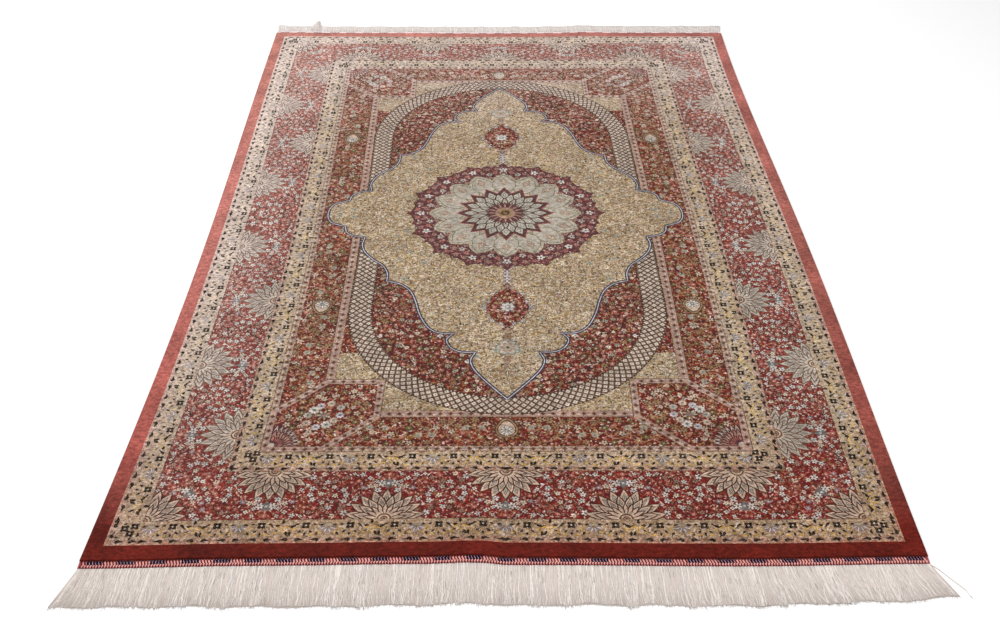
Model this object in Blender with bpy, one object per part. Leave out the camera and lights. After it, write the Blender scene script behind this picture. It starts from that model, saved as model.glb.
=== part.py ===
"""Knotted pile rug lying flat on a floor, with twined end bands and a cut fringe at both ends.

Metres, +Z up. X runs along the ends and Y along the sides; -Y is the near end, with the longer
fringe. The origin is the middle of the pile carpet, on its flat underside.
"""

import bpy
import numpy as np

# Driving sizes
WIDTH = 1.36            # of the pile, between the selvedges
LENGTH = 2.06           # of the pile, between the end bands
CARPET_THICK = 0.005    # foundation and clipped pile together
RIM_ROUND = 0.0016      # how far the clipped pile rounds over at its rim
GAP = 0.0003            # left between neighbouring pieces

BAND_WIDE = 0.0144      # a twined row and the row of locking stitches beside it
BAND_THICK = 0.0026     # at the crown of the twined row
STRIP_WIDE = 0.0020     # last shoots of weft, which hold the fringe's roots
STRIP_THICK = 0.0018

LOCKS = 120             # fringe locks at each end
LOCK_ROOT_WIDE = 0.0080
LOCK_MIDDLE_WIDE = 0.0076
LOCK_TIP_WIDE = 0.0050
LOCK_MIDDLE_THICK = 0.0024
LOCK_TIP_THICK = 0.0014

END_STEPS = 44          # straight steps along one end of the outline
SIDE_STEPS = 36         # and along one side

# The long sides: the rug drew in at its middle and drifts to one side and back along its length
HALF_WIDTH_MIDDLE = 0.6765
CORNER_FLARE = 0.0055
DRIFT_MEAN = 0.0022
DRIFT_SWING = 0.0075
DRIFT_CREST = -0.28     # y where the drift to +X is greatest
DRIFT_WAVE = 2.30       # length of one whole swing

# How far each end stands out past its straight line: (x, outwards)
NEAR_END = (
    (-0.68, 0.004),
    (-0.40, -0.001),
    (-0.12, -0.004),
    (-0.05, -0.007),
    (0.01, -0.001),
    (0.40, 0.003),
    (0.68, -0.001),
)
FAR_END = (
    (-0.68, 0.006),
    (-0.40, 0.001),
    (-0.05, -0.004),
    (0.16, -0.003),
    (0.26, 0.004),
    (0.36, -0.001),
    (0.68, -0.003),
)
END_PULL = 0.45         # how far in from an end its unevenness fades out

# Fringe: (x, length of a lock) and (x, sideways shift of its tip)
NEAR_LENGTH = ((-0.68, 0.078), (-0.30, 0.084), (0.30, 0.080), (0.62, 0.074), (0.68, 0.066))
NEAR_FAN = ((-0.68, -0.024), (-0.645, -0.003), (-0.60, 0.0), (0.10, 0.0), (0.60, 0.012), (0.68, 0.027))
FAR_LENGTH = (
    (-0.68, 0.052),
    (-0.64, 0.045),
    (-0.58, 0.044),
    (-0.562, 0.088),
    (-0.545, 0.044),
    (0.68, 0.047),
)
FAR_FAN = ((-0.68, -0.004), (-0.55, 0.0), (0.50, 0.0), (0.68, 0.008))
LENGTH_SCATTER = 0.0025
TIP_SCATTER = 0.0008


def clear_scene():
    for thing in list(bpy.data.objects):
        bpy.data.objects.remove(thing, do_unlink=True)


def eased(rows, at):
    """Value at `at` between the rows of a (place, value) table, easing along half a cosine."""
    places, values = np.array(rows).T
    row = np.clip(np.searchsorted(places, at, side="right") - 1, 0, len(places) - 2)
    share = np.clip((at - places[row]) / (places[row + 1] - places[row]), 0.0, 1.0)
    share = (1.0 - np.cos(np.pi * share)) / 2.0
    return values[row] + share * (values[row + 1] - values[row])


def lie(x, y):
    """Where a point of the evenly woven rug really lies: drawn in, drifted and pulled at the ends."""
    along = np.clip(y / (LENGTH / 2), -1.0, 1.0)
    half = HALF_WIDTH_MIDDLE + CORNER_FLARE * along**4
    swing = np.cos(2 * np.pi * (along * LENGTH / 2 - DRIFT_CREST) / DRIFT_WAVE)
    drift = DRIFT_MEAN + DRIFT_SWING * swing
    near_share = np.clip((-y - LENGTH / 2 + END_PULL) / END_PULL, 0.0, 1.0) ** 2
    far_share = np.clip((y - LENGTH / 2 + END_PULL) / END_PULL, 0.0, 1.0) ** 2
    pull = far_share * eased(FAR_END, x) - near_share * eased(NEAR_END, x)
    return x * half / (WIDTH / 2) + drift, y + pull


def add_mesh(name, points, faces, color, roughness):
    """One object with its own mesh and material."""
    mesh = bpy.data.meshes.new(name)
    mesh.from_pydata([tuple(point) for point in points], [], faces)
    mesh.update()
    material = bpy.data.materials.new(name)
    material.use_nodes = True
    shader = material.node_tree.nodes["Principled BSDF"]
    shader.inputs["Base Color"].default_value = (*color, 1.0)
    shader.inputs["Roughness"].default_value = roughness
    shader.inputs["Metallic"].default_value = 0.0
    mesh.materials.append(material)
    thing = bpy.data.objects.new(name, mesh)
    bpy.context.scene.collection.objects.link(thing)
    return thing


def carpet_ring(inset, height):
    """The rug's outline, anticlockwise from the near left corner, moved in by `inset`."""
    half_x = WIDTH / 2 - inset
    half_y = LENGTH / 2 - inset
    across = np.linspace(-half_x, half_x, END_STEPS + 1)[:-1]
    along = np.linspace(-half_y, half_y, SIDE_STEPS + 1)[:-1]
    x = np.concatenate([across, np.full(SIDE_STEPS, half_x), -across, np.full(SIDE_STEPS, -half_x)])
    y = np.concatenate([np.full(END_STEPS, -half_y), along, np.full(END_STEPS, half_y), -along])
    x, y = lie(x, y)
    return np.stack([x, y, np.full_like(x, height)], axis=1)


def make_carpet():
    """Pile carpet: its outline stacked from the floor up, with the rim of the pile rounded over."""
    rings = [
        carpet_ring(0.0, 0.0),
        carpet_ring(0.0, CARPET_THICK - RIM_ROUND),
        carpet_ring(RIM_ROUND * 0.3, CARPET_THICK - RIM_ROUND * 0.3),
        carpet_ring(RIM_ROUND, CARPET_THICK),
    ]
    count = len(rings[0])
    faces = [tuple(reversed(range(count)))]
    for level in range(len(rings) - 1):
        for step in range(count):
            here = level * count + step
            beside = level * count + (step + 1) % count
            faces.append((here, beside, beside + count, here + count))
    top = (len(rings) - 1) * count
    faces.append(tuple(range(top, top + count)))
    add_mesh("carpet", np.concatenate(rings), faces, (0.36, 0.10, 0.07), 0.75)


def end_line(side, out, x):
    """Line along an end, `out` metres beyond the pile, in the same straight steps as the outline."""
    steps = np.linspace(-WIDTH / 2, WIDTH / 2, END_STEPS + 1)
    step_x, step_y = lie(steps, np.full_like(steps, side * (LENGTH / 2 + out)))
    return np.interp(x, steps, step_x), np.interp(x, steps, step_y)


def make_band(name, side):
    """Twined band: a low double rib swept along the end, flat underneath and closed at both ends."""
    profile = (
        # (out from the band's inner edge, height)
        (0.0, 0.0),
        (0.0, BAND_THICK * 0.8),
        (BAND_WIDE * 0.28, BAND_THICK),
        (BAND_WIDE * 0.58, BAND_THICK * 0.7),
        (BAND_WIDE * 0.80, BAND_THICK * 0.85),
        (BAND_WIDE, BAND_THICK * 0.6),
        (BAND_WIDE, 0.0),
    )
    columns = np.linspace(-WIDTH / 2, WIDTH / 2, END_STEPS + 1) * side
    lines = []
    for out, height in profile:
        x, y = end_line(side, GAP + out, columns)
        lines.append(np.stack([x, y, np.full_like(x, height)], axis=1))
    rows, count = len(profile), len(columns)
    faces = [tuple(row * count for row in range(rows))]
    for row in range(rows):
        for step in range(count - 1):
            here = row * count + step
            above = ((row + 1) % rows) * count + step
            faces.append((here, here + 1, above + 1, above))
    faces.append(tuple(row * count + count - 1 for row in reversed(range(rows))))
    add_mesh(name, np.concatenate(lines), faces, (0.52, 0.27, 0.27), 0.8)


def lock_sections(root, side, length, shift):
    """Middle and tip of one lock as rows of four corners, resting level on the floor."""
    sections = []
    shares = ((0.55, LOCK_MIDDLE_WIDE, LOCK_MIDDLE_THICK), (1.0, LOCK_TIP_WIDE, LOCK_TIP_THICK))
    for share, wide, thick in shares:
        x = root[0] + shift * share**1.4
        y = root[1] + side * length * share
        left, right = x - wide / 2, x + wide / 2
        sections.append([(left, y, 0.0), (right, y, 0.0), (right, y, thick), (left, y, thick)])
    return sections


def make_fringe(name, side, lengths, fan, seed):
    """Fringe: a narrow strip beyond the band, with each lock drawn out of its outer face."""
    random = np.random.default_rng(seed)
    pitch = WIDTH / LOCKS
    centers = (np.arange(LOCKS) + 0.5) * pitch - WIDTH / 2
    edges = np.stack([centers - LOCK_ROOT_WIDE / 2, centers + LOCK_ROOT_WIDE / 2], axis=1).ravel()
    columns = np.concatenate([[-WIDTH / 2], edges, [WIDTH / 2]])
    inner = GAP + BAND_WIDE + GAP
    count = len(columns)
    points = []
    for out, height in ((inner, 0.0), (inner + STRIP_WIDE, 0.0),
                        (inner + STRIP_WIDE, STRIP_THICK), (inner, STRIP_THICK)):
        x, y = end_line(side, out, columns)
        points.extend(zip(x, y, np.full_like(x, height)))
    back_low, front_low, front_high, back_high = (row * count for row in range(4))
    faces = []
    for step in range(count - 1):
        faces.append((back_low + step, back_low + step + 1, front_low + step + 1, front_low + step))
        faces.append((front_high + step, front_high + step + 1, back_high + step + 1, back_high + step))
        faces.append((back_high + step, back_high + step + 1, back_low + step + 1, back_low + step))
        if step % 2 == 0:
            faces.append((front_low + step, front_low + step + 1,
                          front_high + step + 1, front_high + step))
    last = count - 1
    faces.append((back_low, front_low, front_high, back_high))
    faces.append((back_high + last, front_high + last, front_low + last, back_low + last))
    for number, center in enumerate(centers):
        left = 1 + 2 * number
        ring = [front_low + left, front_low + left + 1, front_high + left + 1, front_high + left]
        root = (points[ring[0]][0] + LOCK_ROOT_WIDE / 2, points[ring[0]][1])
        length = eased(lengths, center) + random.uniform(-LENGTH_SCATTER, LENGTH_SCATTER)
        shift = eased(fan, center) + random.uniform(-TIP_SCATTER, TIP_SCATTER)
        for section in lock_sections(root, side, length, shift):
            first = len(points)
            points.extend(section)
            for corner in range(4):
                beside = (corner + 1) % 4
                faces.append((ring[corner], ring[beside], first + beside, first + corner))
            ring = [first, first + 1, first + 2, first + 3]
        faces.append(tuple(ring))
    if side > 0:
        faces = [tuple(reversed(face)) for face in faces]
    add_mesh(name, points, faces, (0.74, 0.69, 0.64), 0.85)


def main():
    clear_scene()
    make_carpet()
    make_band("end_band_near", -1)
    make_band("end_band_far", 1)
    make_fringe("fringe_near", -1, NEAR_LENGTH, NEAR_FAN, seed=3)
    make_fringe("fringe_far", 1, FAR_LENGTH, FAR_FAN, seed=5)


main()
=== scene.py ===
"""Looks of a Persian rug with a medallion design, lying flat on a pale floor.

The pile is one flat drawing for each quarter of the rug. The drawing is made of small shapes in
millimetres, in the weave's own straight frame: x to one side from the rug's middle, y to one end.
It is cut into triangles, mirrored to the four quarters and laid along the rug's slightly uneven
outline. The twined bands and the loose warp ends are meshes of stitches and threads.
"""

from functools import partial

import bpy
import numpy as np
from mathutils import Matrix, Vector
from mathutils.geometry import delaunay_2d_cdt


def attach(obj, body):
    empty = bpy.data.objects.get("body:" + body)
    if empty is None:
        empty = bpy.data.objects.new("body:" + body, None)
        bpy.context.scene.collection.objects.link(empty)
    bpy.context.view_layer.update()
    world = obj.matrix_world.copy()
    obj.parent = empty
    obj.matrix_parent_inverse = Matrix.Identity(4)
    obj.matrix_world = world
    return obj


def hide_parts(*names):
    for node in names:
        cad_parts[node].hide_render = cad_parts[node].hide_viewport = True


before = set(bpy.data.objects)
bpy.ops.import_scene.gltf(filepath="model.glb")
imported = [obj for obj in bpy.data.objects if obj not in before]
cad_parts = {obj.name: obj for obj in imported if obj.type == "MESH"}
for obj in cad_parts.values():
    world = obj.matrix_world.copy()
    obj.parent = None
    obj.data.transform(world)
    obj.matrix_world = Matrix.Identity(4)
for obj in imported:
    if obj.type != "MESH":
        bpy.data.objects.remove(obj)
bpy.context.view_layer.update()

TAU = 2 * np.pi
MM = 0.001

# ---- sizes, as the solids have them, in metres -----------------------------------------------

WIDTH = 1.36
LENGTH = 2.06
CARPET_THICK = 0.005
RIM_ROUND = 0.0016
GAP = 0.0003
BAND_WIDE = 0.0144
END_STEPS = 44
SIDE_STEPS = 36
BACK_THICK = 0.0022     # foundation of warps and wefts below the pile

# The long sides: the rug drew in at its middle, and it drifts to one side and back along its length
HALF_WIDTH_MIDDLE = 0.6765
CORNER_FLARE = 0.0055
DRIFT_MEAN = 0.0022
DRIFT_SWING = 0.0075
DRIFT_CREST = -0.28     # y where the drift to +X is greatest
DRIFT_WAVE = 2.30

# How far each end stands out past its straight line: (x, outwards)
NEAR_END = (
    (-0.68, 0.004), (-0.40, -0.001), (-0.12, -0.004), (-0.05, -0.007),
    (0.01, -0.001), (0.40, 0.003), (0.68, -0.001),
)
FAR_END = (
    (-0.68, 0.006), (-0.40, 0.001), (-0.05, -0.004), (0.16, -0.003),
    (0.26, 0.004), (0.36, -0.001), (0.68, -0.003),
)
END_PULL = 0.45         # how far in from an end its unevenness fades out

# Fringe: (x, length of a thread) and (x, sideways shift of its tip)
NEAR_LENGTH = ((-0.68, 0.078), (-0.30, 0.084), (0.30, 0.080), (0.62, 0.074), (0.68, 0.066))
NEAR_FAN = ((-0.68, -0.024), (-0.645, -0.003), (-0.60, 0.0), (0.10, 0.0), (0.60, 0.012), (0.68, 0.027))
FAR_LENGTH = (
    (-0.68, 0.052), (-0.64, 0.045), (-0.58, 0.044), (-0.562, 0.088),
    (-0.545, 0.044), (0.68, 0.047),
)
FAR_FAN = ((-0.68, -0.004), (-0.55, 0.0), (0.50, 0.0), (0.68, 0.008))


def eased(rows, at):
    """Value at `at` between the rows of a (place, value) table, easing along half a cosine."""
    places, values = np.array(rows).T
    row = np.clip(np.searchsorted(places, at, side="right") - 1, 0, len(places) - 2)
    share = np.clip((at - places[row]) / (places[row + 1] - places[row]), 0.0, 1.0)
    share = (1.0 - np.cos(np.pi * share)) / 2.0
    return values[row] + share * (values[row + 1] - values[row])


def lie(x, y):
    """Where a point of the evenly woven rug really lies: the half width grows with the fourth power
    of the distance from the middle, the whole drifts along a cosine, and each end is pulled in or
    out, fading with the square of the distance from it."""
    along = np.clip(y / (LENGTH / 2), -1.0, 1.0)
    half = HALF_WIDTH_MIDDLE + CORNER_FLARE * along**4
    swing = np.cos(TAU * (along * LENGTH / 2 - DRIFT_CREST) / DRIFT_WAVE)
    drift = DRIFT_MEAN + DRIFT_SWING * swing
    near_share = np.clip((-y - LENGTH / 2 + END_PULL) / END_PULL, 0.0, 1.0) ** 2
    far_share = np.clip((y - LENGTH / 2 + END_PULL) / END_PULL, 0.0, 1.0) ** 2
    pull = far_share * eased(FAR_END, x) - near_share * eased(NEAR_END, x)
    return x * half / (WIDTH / 2) + drift, y + pull


def end_line(side, out, x):
    """Line along an end, `out` metres beyond the pile, in the same straight steps as the outline.
    Side is -1 for the near end and 1 for the far one."""
    steps = np.linspace(-WIDTH / 2, WIDTH / 2, END_STEPS + 1)
    step_x, step_y = lie(steps, np.full_like(steps, side * (LENGTH / 2 + out)))
    return np.interp(x, steps, step_x), np.interp(x, steps, step_y)


# ---- dyes ------------------------------------------------------------------------------------

DYES = {
    "plain_red": "#5b1a12", "border_red": "#701a1a", "band_red": "#6b2217", "field_red": "#641b1b",
    "wine": "#4f2a30", "plum": "#562f34", "beige": "#a28c74", "dun": "#a07f71",
    "salmon": "#b5806e", "sand": "#b7a28f", "gold": "#8f6f3c", "straw": "#b19c6a",
    "ochre": "#ba984a", "rust": "#7e3b24", "cream": "#c3b4a0", "pearl": "#bfbab1",
    "slate": "#626a6a", "lilac": "#85808a", "lavender": "#b8b1b5", "pink": "#a2685b",
    "rose": "#957566", "tan": "#8e7050", "olive": "#655a3c", "umber": "#5d4636",
    "bark": "#3b2a22", "ink": "#0f0b09", "navy": "#353642", "celadon": "#97917f",
    "mist": "#a49c90", "oat": "#ad9680",
}
DYE_NAMES = list(DYES)


def linear(code):
    """sRGB hex as linear red, green and blue."""
    share = np.array([int(code[at:at + 2], 16) for at in (1, 3, 5)]) / 255
    return np.where(share <= 0.04045, share / 12.92, ((share + 0.055) / 1.055) ** 2.4)


def solid(code):
    """sRGB hex as a linear color that covers fully."""
    return (*linear(code), 1.0)


# ---- flat shapes, in millimetres ---------------------------------------------------------------
# A motif is a list of (dye, outline) in painter's order, round its own middle or from its foot.

def joined(*columns):
    """Arrays of like shape side by side, as the coordinates of points."""
    return np.stack(columns, axis=-1)


def polar(radius, angle):
    """Points at that distance and angle from the middle."""
    return joined(radius * np.cos(angle), radius * np.sin(angle))


def rectangle(left, right, low, high):
    """Its four corners, anticlockwise."""
    return np.array([(left, low), (right, low), (right, high), (left, high)], float)


def star(points, outer, inner, phase=0.0):
    """Points and notches in turn round a circle."""
    return polar(np.tile((outer, inner), points), phase + TAU * np.arange(2 * points) / (2 * points))


def lobed(lobes, outer, inner):
    """Blunt lobes round a circle: two corners on each lobe's end, and a notch before the next."""
    angle = TAU * (np.repeat(np.arange(lobes), 3) + np.tile((-0.24, 0.24, 0.5), lobes)) / lobes
    return polar(np.tile((outer, outer, inner), lobes), angle)


def disc(radius, corners=8):
    """Corners at even steps round a circle."""
    return polar(radius, TAU * np.arange(corners) / corners)


def petal(start, length, width, fullness=(0.28, 0.85, 1.0, 0.62)):
    """Pointed petal along +X: half widths in shares of the full one at even steps, then the tip."""
    half = np.array(fullness) * width / 2
    along = start + length * np.arange(len(half)) / len(half)
    return np.concatenate([joined(along, -half), [(start + length, 0.0)], joined(along, half)[::-1]])


def leaf(length, width, start=0.0):
    """Lozenge along +X, widest a little before its middle."""
    widest = start + length * 0.45
    return np.array([(start, 0), (widest, -width / 2), (start + length, 0), (widest, width / 2)])


def normals(line):
    """Unit vectors square to the line's own run."""
    step = np.gradient(line, axis=0)
    step /= np.linalg.norm(step, axis=1, keepdims=True)
    return joined(-step[:, 1], step[:, 0])


def ribbon(line, width):
    """Strip along a line, tapering to half its width."""
    reach = normals(line) * (width / 2 * np.linspace(1.0, 0.5, len(line))[:, None])
    return np.concatenate([line + reach, (line - reach)[::-1]])


def spiral(radius, turns, corners):
    """Scroll that winds in to a fifth of its radius."""
    share = np.linspace(0.0, 1.0, corners)
    return polar(radius * (1.0 - 0.8 * share), TAU * turns * share)


def placed(motif, at=(0.0, 0.0), turn=0.0, size=1.0, flip=1):
    """Motif mirrored across its X axis (flip -1), scaled, turned and moved."""
    c, s = np.cos(turn) * size, np.sin(turn) * size
    matrix = np.array([(c, s), (-s * flip, c * flip)])
    return [(dye, outline @ matrix + at) for dye, outline in motif]


def wreath(motif, count, low=0.0, spread=TAU, at=(0.0, 0.0)):
    """Motif repeated at even angles over part of a circle, half a step from each end of it."""
    shapes = []
    for angle in low + spread * (np.arange(count) + 0.5) / count:
        shapes += placed(motif, at, angle)
    return shapes


# ---- motifs ------------------------------------------------------------------------------------

def blossom(petal_dye, heart_dye, size, petals=5, edge=None):
    """Round flower from above, on a dark disc where `edge` names its dye."""
    shapes = [(edge, disc(size * 1.14, 7))] if edge else []
    return shapes + [(petal_dye, lobed(petals, size, size * 0.42)), (heart_dye, disc(size * 0.34, 4))]


def tulip(dye, heart_dye, size):
    """Split-leaf flower seen from the side, an arrowhead with a notched foot."""
    outline = size * np.array([(-1, 0), (-0.55, -0.75), (0.3, -0.95), (0.1, -0.3), (1, 0),
                               (0.1, 0.3), (0.3, 0.95), (-0.55, 0.75)])
    return [(dye, outline), (heart_dye, leaf(size * 0.8, size * 0.4, -size * 0.6))]


def bell(dye, heart_dye, size):
    """Flower seen from the side, narrow at its foot and open to +X."""
    outline = size * np.array([(-0.8, 0), (-0.3, -0.6), (0.8, -0.8), (0.5, -0.2), (1, 0),
                               (0.5, 0.2), (0.8, 0.8), (-0.3, 0.6)])
    return [(dye, outline), (heart_dye, disc(size * 0.25, 4))]


def sunflower(petal_counts, low, spread, edge="bark", fill="sand"):
    """Three rings of outlined pointed petals round a dark eye, over part of a circle. Each outer
    petal has a small outlined heart."""
    rings = (
        # start, length, width, how many hearts lie on one another
        (28, 43, 20.0, 3),
        (18, 38, 17.0, 3),
        (10, 28, 11.0, 0),
    )
    # shares of the petal's length and width, and where along it the heart starts
    hearts = (("umber", 0.50, 0.44, 0.24), ("mist", 0.40, 0.31, 0.28), ("slate", 0.20, 0.13, 0.38))
    shapes = []
    for count, (start, length, width, depth) in zip(petal_counts, rings):
        one = [(edge, petal(start, length, width)),
               (fill, petal(start + 1.9, length - 5.6, width - 4.8))]
        one += [(dye, leaf(length * long, width * wide, start + length * at))
                for dye, long, wide, at in hearts[:depth]]
        shapes += wreath(one, count, low, spread)
    shapes += wreath([("cream", leaf(9.5, 3.0, 9.0))], petal_counts[0] + 2, low, spread)
    arc = low + spread * np.linspace(0, 1, 9)
    eye = (("tan", 13.0), ("bark", 11.4), ("sand", 9.6), ("umber", 6.8), ("rose", 4.4), ("ink", 2.2))
    return shapes + [(dye, np.concatenate([polar(radius, arc), [(0.0, 0.0)]])) for dye, radius in eye]


def crown():
    """Palmette between two round blossoms, which stands on a sunflower's tip; points to +Y."""
    shapes = []
    for angle in np.radians((50, 90, 130)):
        shapes += placed([("pink", petal(7, 12, 4.6, (0.4, 1.0, 0.7))), ("cream", leaf(6, 2.0, 10))],
                         turn=angle)
    for side in (-1, 1):
        shapes += placed([("slate", petal(0, 14, 5.4))], turn=TAU / 4 + side * 0.5)
        shapes += placed(blossom("pearl", "slate", 7.8, 6, "wine"), (side * 11.0, 0.0), 0.3)
        shapes += placed(blossom("cream", "pink", 4.8, 5, "wine"), (side * 21.5, -6.0), 0.9)
    shapes.append(("slate", star(4, 9, 4.4, TAU / 8)))
    shapes.append(("pearl", star(4, 3.6, 1.8, TAU / 8)))
    shapes += placed([("slate", leaf(12, 7))], (0, -13), TAU / 4)
    return shapes


def four_dots():
    """Four black squares joined round a pale heart: one side of the outline, turned four times."""
    side = np.array([(-6.4, -6.4), (-1.1, -6.4), (-1.1, -5.2), (1.1, -5.2), (1.1, -6.4)])
    x, y = side.T
    outline = np.concatenate([side, joined(-y, x), -side, joined(y, -x)])
    return [("ink", outline), ("cream", disc(2.1, 4))]


def spray():
    """Fan of narrow petals in pale blue and white, which open to +Y, between dark leaves."""
    shapes = []
    for x, y, angle in ((-6, -9, 165), (6, -9, 15), (-14, 7, 120), (14, 7, 60)):
        shapes += placed([("ink", leaf(10.0, 5.4))], (x, y), np.radians(angle))
    for number, angle in enumerate(np.radians(np.linspace(0, 180, 9))):
        dye = "pearl" if number % 2 else "lilac"
        shapes += placed([("umber", leaf(16, 5.0, 1)), (dye, leaf(14.5, 3.0, 2))], (0, -4), angle)
    for angle in np.radians((-30, -60, -90, -120, -150)):
        shapes += placed([("celadon", leaf(8, 2.8, 1))], (0, -4), angle)
    shapes.append(("gold", disc(2.2, 5) - (0, 4)))
    return shapes


def lily():
    """Yellow petals opening to +Y, with black leaves round it."""
    shapes = []
    comma = np.array([(0, 0), (4, -3.2), (9, -2.6), (12.5, 1.4), (8, 1.2), (4, 2.6)])
    for x, y, angle in ((-5, -6, 150), (5, -7, 18), (-4, 6, 118), (7, 3, 52), (-12, 6, 95), (12, -1, -30),
                        (-11, -3, 205), (1, -9, -80)):
        shapes += placed([("ink", comma)], (x, y), np.radians(angle))
    for number, angle in enumerate(np.radians((22, 56, 90, 124, 158))):
        dye = "cream" if number % 2 else "ochre"
        shapes += placed([(dye, petal(2, 14, 4.8, (0.4, 1.0, 0.7))), ("gold", leaf(6, 1.8, 5))],
                         (0, -5), angle)
    shapes.append(("rose", disc(2.4, 6) - (0, 5)))
    return shapes


def leaf_mark():
    """Comma-shaped black leaf along X, thick at one end."""
    return [("ink", np.array([(-8.6, 3.0), (-3.6, 0.0), (0.4, -3.8), (6.0, -3.4), (7.8, 0.6),
                              (5.2, 3.8), (1.4, 2.0), (-3.0, 2.8)]))]


def arch_rosette():
    """Pale drop with a white flower at its foot, inside a ring of tan petals; points to +Y."""
    angle = TAU * np.arange(20) / 20
    drop = joined(np.cos(angle), np.sin(angle) + 0.5 * np.clip(np.sin(angle), 0, 1) ** 4)
    full, fuller = (0.6, 1, 0.7), (0.6, 1, 0.8)
    shapes = wreath([("bark", petal(18, 13, 8.5, full)), ("tan", petal(19, 9.5, 5.0, full))], 14)
    shapes += [("bark", drop * 22.5), ("tan", drop * 20.5), ("bark", drop * 17.5), ("sand", drop * 15.6)]
    shapes += wreath([("bark", petal(3, 13, 7.0, fuller)), ("pearl", petal(4, 10.4, 4.6, fuller))],
                     9, at=(0.0, -3.0))
    return shapes + [("slate", star(6, 6, 3.4) - (0, 3)), ("cream", disc(2.2, 6) - (0, 3))]


# Small comma leaves and flowers strewn over each ground: (dye, weight) and (motif, weight)
COMMAS = {
    "border": (("pink", 3.0), ("pearl", 3.2), ("bark", 2.6), ("cream", 2.0), ("wine", 1.2),
               ("slate", 0.5), ("lilac", 0.5)),
    "ring": (("rose", 2.0), ("pearl", 1.6), ("pink", 2.4), ("bark", 1.6), ("mist", 1.4), ("ink", 0.5)),
}
FLOWERS = {
    "border": (
        (blossom("pearl", "slate", 6.2, 5, "wine"), 2.8),
        (blossom("pearl", "field_red", 4.4, 4, "bark"), 3),
        (blossom("cream", "slate", 5.4, 5, "bark"), 2.0),
        (blossom("pink", "cream", 4.4), 3.2),
        (bell("pearl", "slate", 5.4), 1.6),
        (blossom("rose", "bark", 5.6, 6, "bark"), 1.6),
        (tulip("cream", "bark", 6.0), 1.2),
        (blossom("lilac", "cream", 4.6, 6), 0.8),
    ),
    "inner": (
        (blossom("tan", "umber", 7.0, 6, "bark"), 2.8),
        (blossom("sand", "olive", 6.2, 5, "bark"), 2.2),
        (blossom("olive", "straw", 6.2, 6, "bark"), 1.8),
        (blossom("pink", "cream", 4.4), 1.6),
        (tulip("sand", "slate", 6.6), 1.1),
        (tulip("tan", "cream", 7.0), 1.6),
        (bell("pink", "cream", 5.4), 1.2),
    ),
    "field": (
        (blossom("tan", "bark", 6.2, 6, "bark"), 1.6),
        (blossom("sand", "umber", 5.8, 5, "bark"), 1.0),
        (blossom("pink", "cream", 4.8), 3.2),
        (blossom("olive", "cream", 5.4, 6, "bark"), 1.0),
        (blossom("rose", "wine", 5.2), 1.2),
        (tulip("pearl", "slate", 7.0), 0.6),
        (bell("cream", "bark", 5.8), 0.7),
        (blossom("celadon", "bark", 5.4, 6, "bark"), 0.8),
    ),
    "medallion": (
        (blossom("sand", "gold", 8.0, 6), 2),
        (blossom("celadon", "slate", 8.6, 6), 2),
        (blossom("rose", "cream", 7.0), 2),
        (blossom("cream", "gold", 6.4), 1.4),
    ),
}


def drawn_lots(rows, count, random):
    """So many things, each drawn by lot with its row's weight."""
    things, weights = zip(*rows)
    return [things[pick] for pick in random.choice(len(things), count, p=np.array(weights) / sum(weights))]


def commas(spots, kind, length, seed):
    """A small curled leaf at each spot, its dye, size and direction drawn by lot."""
    random = np.random.default_rng(seed)
    dyes = drawn_lots(COMMAS[kind], len(spots), random)
    turns = random.uniform(0, TAU, len(spots))
    sizes = random.uniform(0.7, 1.25, len(spots)) * length
    comma = np.array([(-0.5, 0), (-0.1, -0.28), (0.5, 0.05), (0, 0.12)])
    shapes = []
    for spot, dye, turn, size in zip(spots, dyes, turns, sizes):
        shapes += placed([(dye, comma)], spot, turn, size)
    return shapes


def strewn(spots, kind, seed):
    """A flower at each spot, drawn by lot, turned and scaled at random."""
    random = np.random.default_rng(seed)
    shapes = []
    for spot, motif in zip(spots, drawn_lots(FLOWERS[kind], len(spots), random)):
        shapes += placed(motif, spot, random.uniform(0, TAU), random.uniform(0.82, 1.18))
    return shapes


def apart(low, high, gap, seed, tries, keep, taken=()):
    """Random places between two corners that `keep` allows, each at least `gap` from all others."""
    random = np.random.default_rng(seed)
    throws = random.uniform(low, high, (tries, 2))
    throws = throws[keep(throws)]
    chosen = np.array(list(taken), float).reshape(-1, 2)
    first = len(chosen)
    for throw in throws:
        if np.all(np.sum((chosen - throw) ** 2, axis=1) > gap * gap):
            chosen = np.concatenate([chosen, [throw]])
    return chosen[first:]


def within(outline, spots):
    """Which spots lie inside a closed outline: a ray to +X crosses it an odd number of times."""
    x, y = spots[:, :1], spots[:, 1:]
    here, there = outline, np.roll(outline, -1, axis=0)
    crosses = (here[:, 1] > y) != (there[:, 1] > y)
    rise = np.where(here[:, 1] == there[:, 1], 1.0, there[:, 1] - here[:, 1])
    at = here[:, 0] + (y - here[:, 1]) / rise * (there[:, 0] - here[:, 0])
    return np.sum(crosses & (x < at), axis=1) % 2 == 1


# ---- borders -----------------------------------------------------------------------------------
# A run is drawn along +X with y outwards from the band's inner edge, then laid along an end or a side.

HALF_X, HALF_Y = 680, 1030
PLAIN, OUTER_GUARD, MAIN, INNER_GUARD, INNER_BAND, STRIPE = 30, 50, 112, 62, 76, 18
GUARD_EDGE = 11.0       # strip with the leaf marks, along a guard's outer edge
INNER_STRIPE = 14.0     # dotted stripe along the inner guard's inner edge
REPEAT = 73.2           # from one four-dot flower to the next


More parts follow.
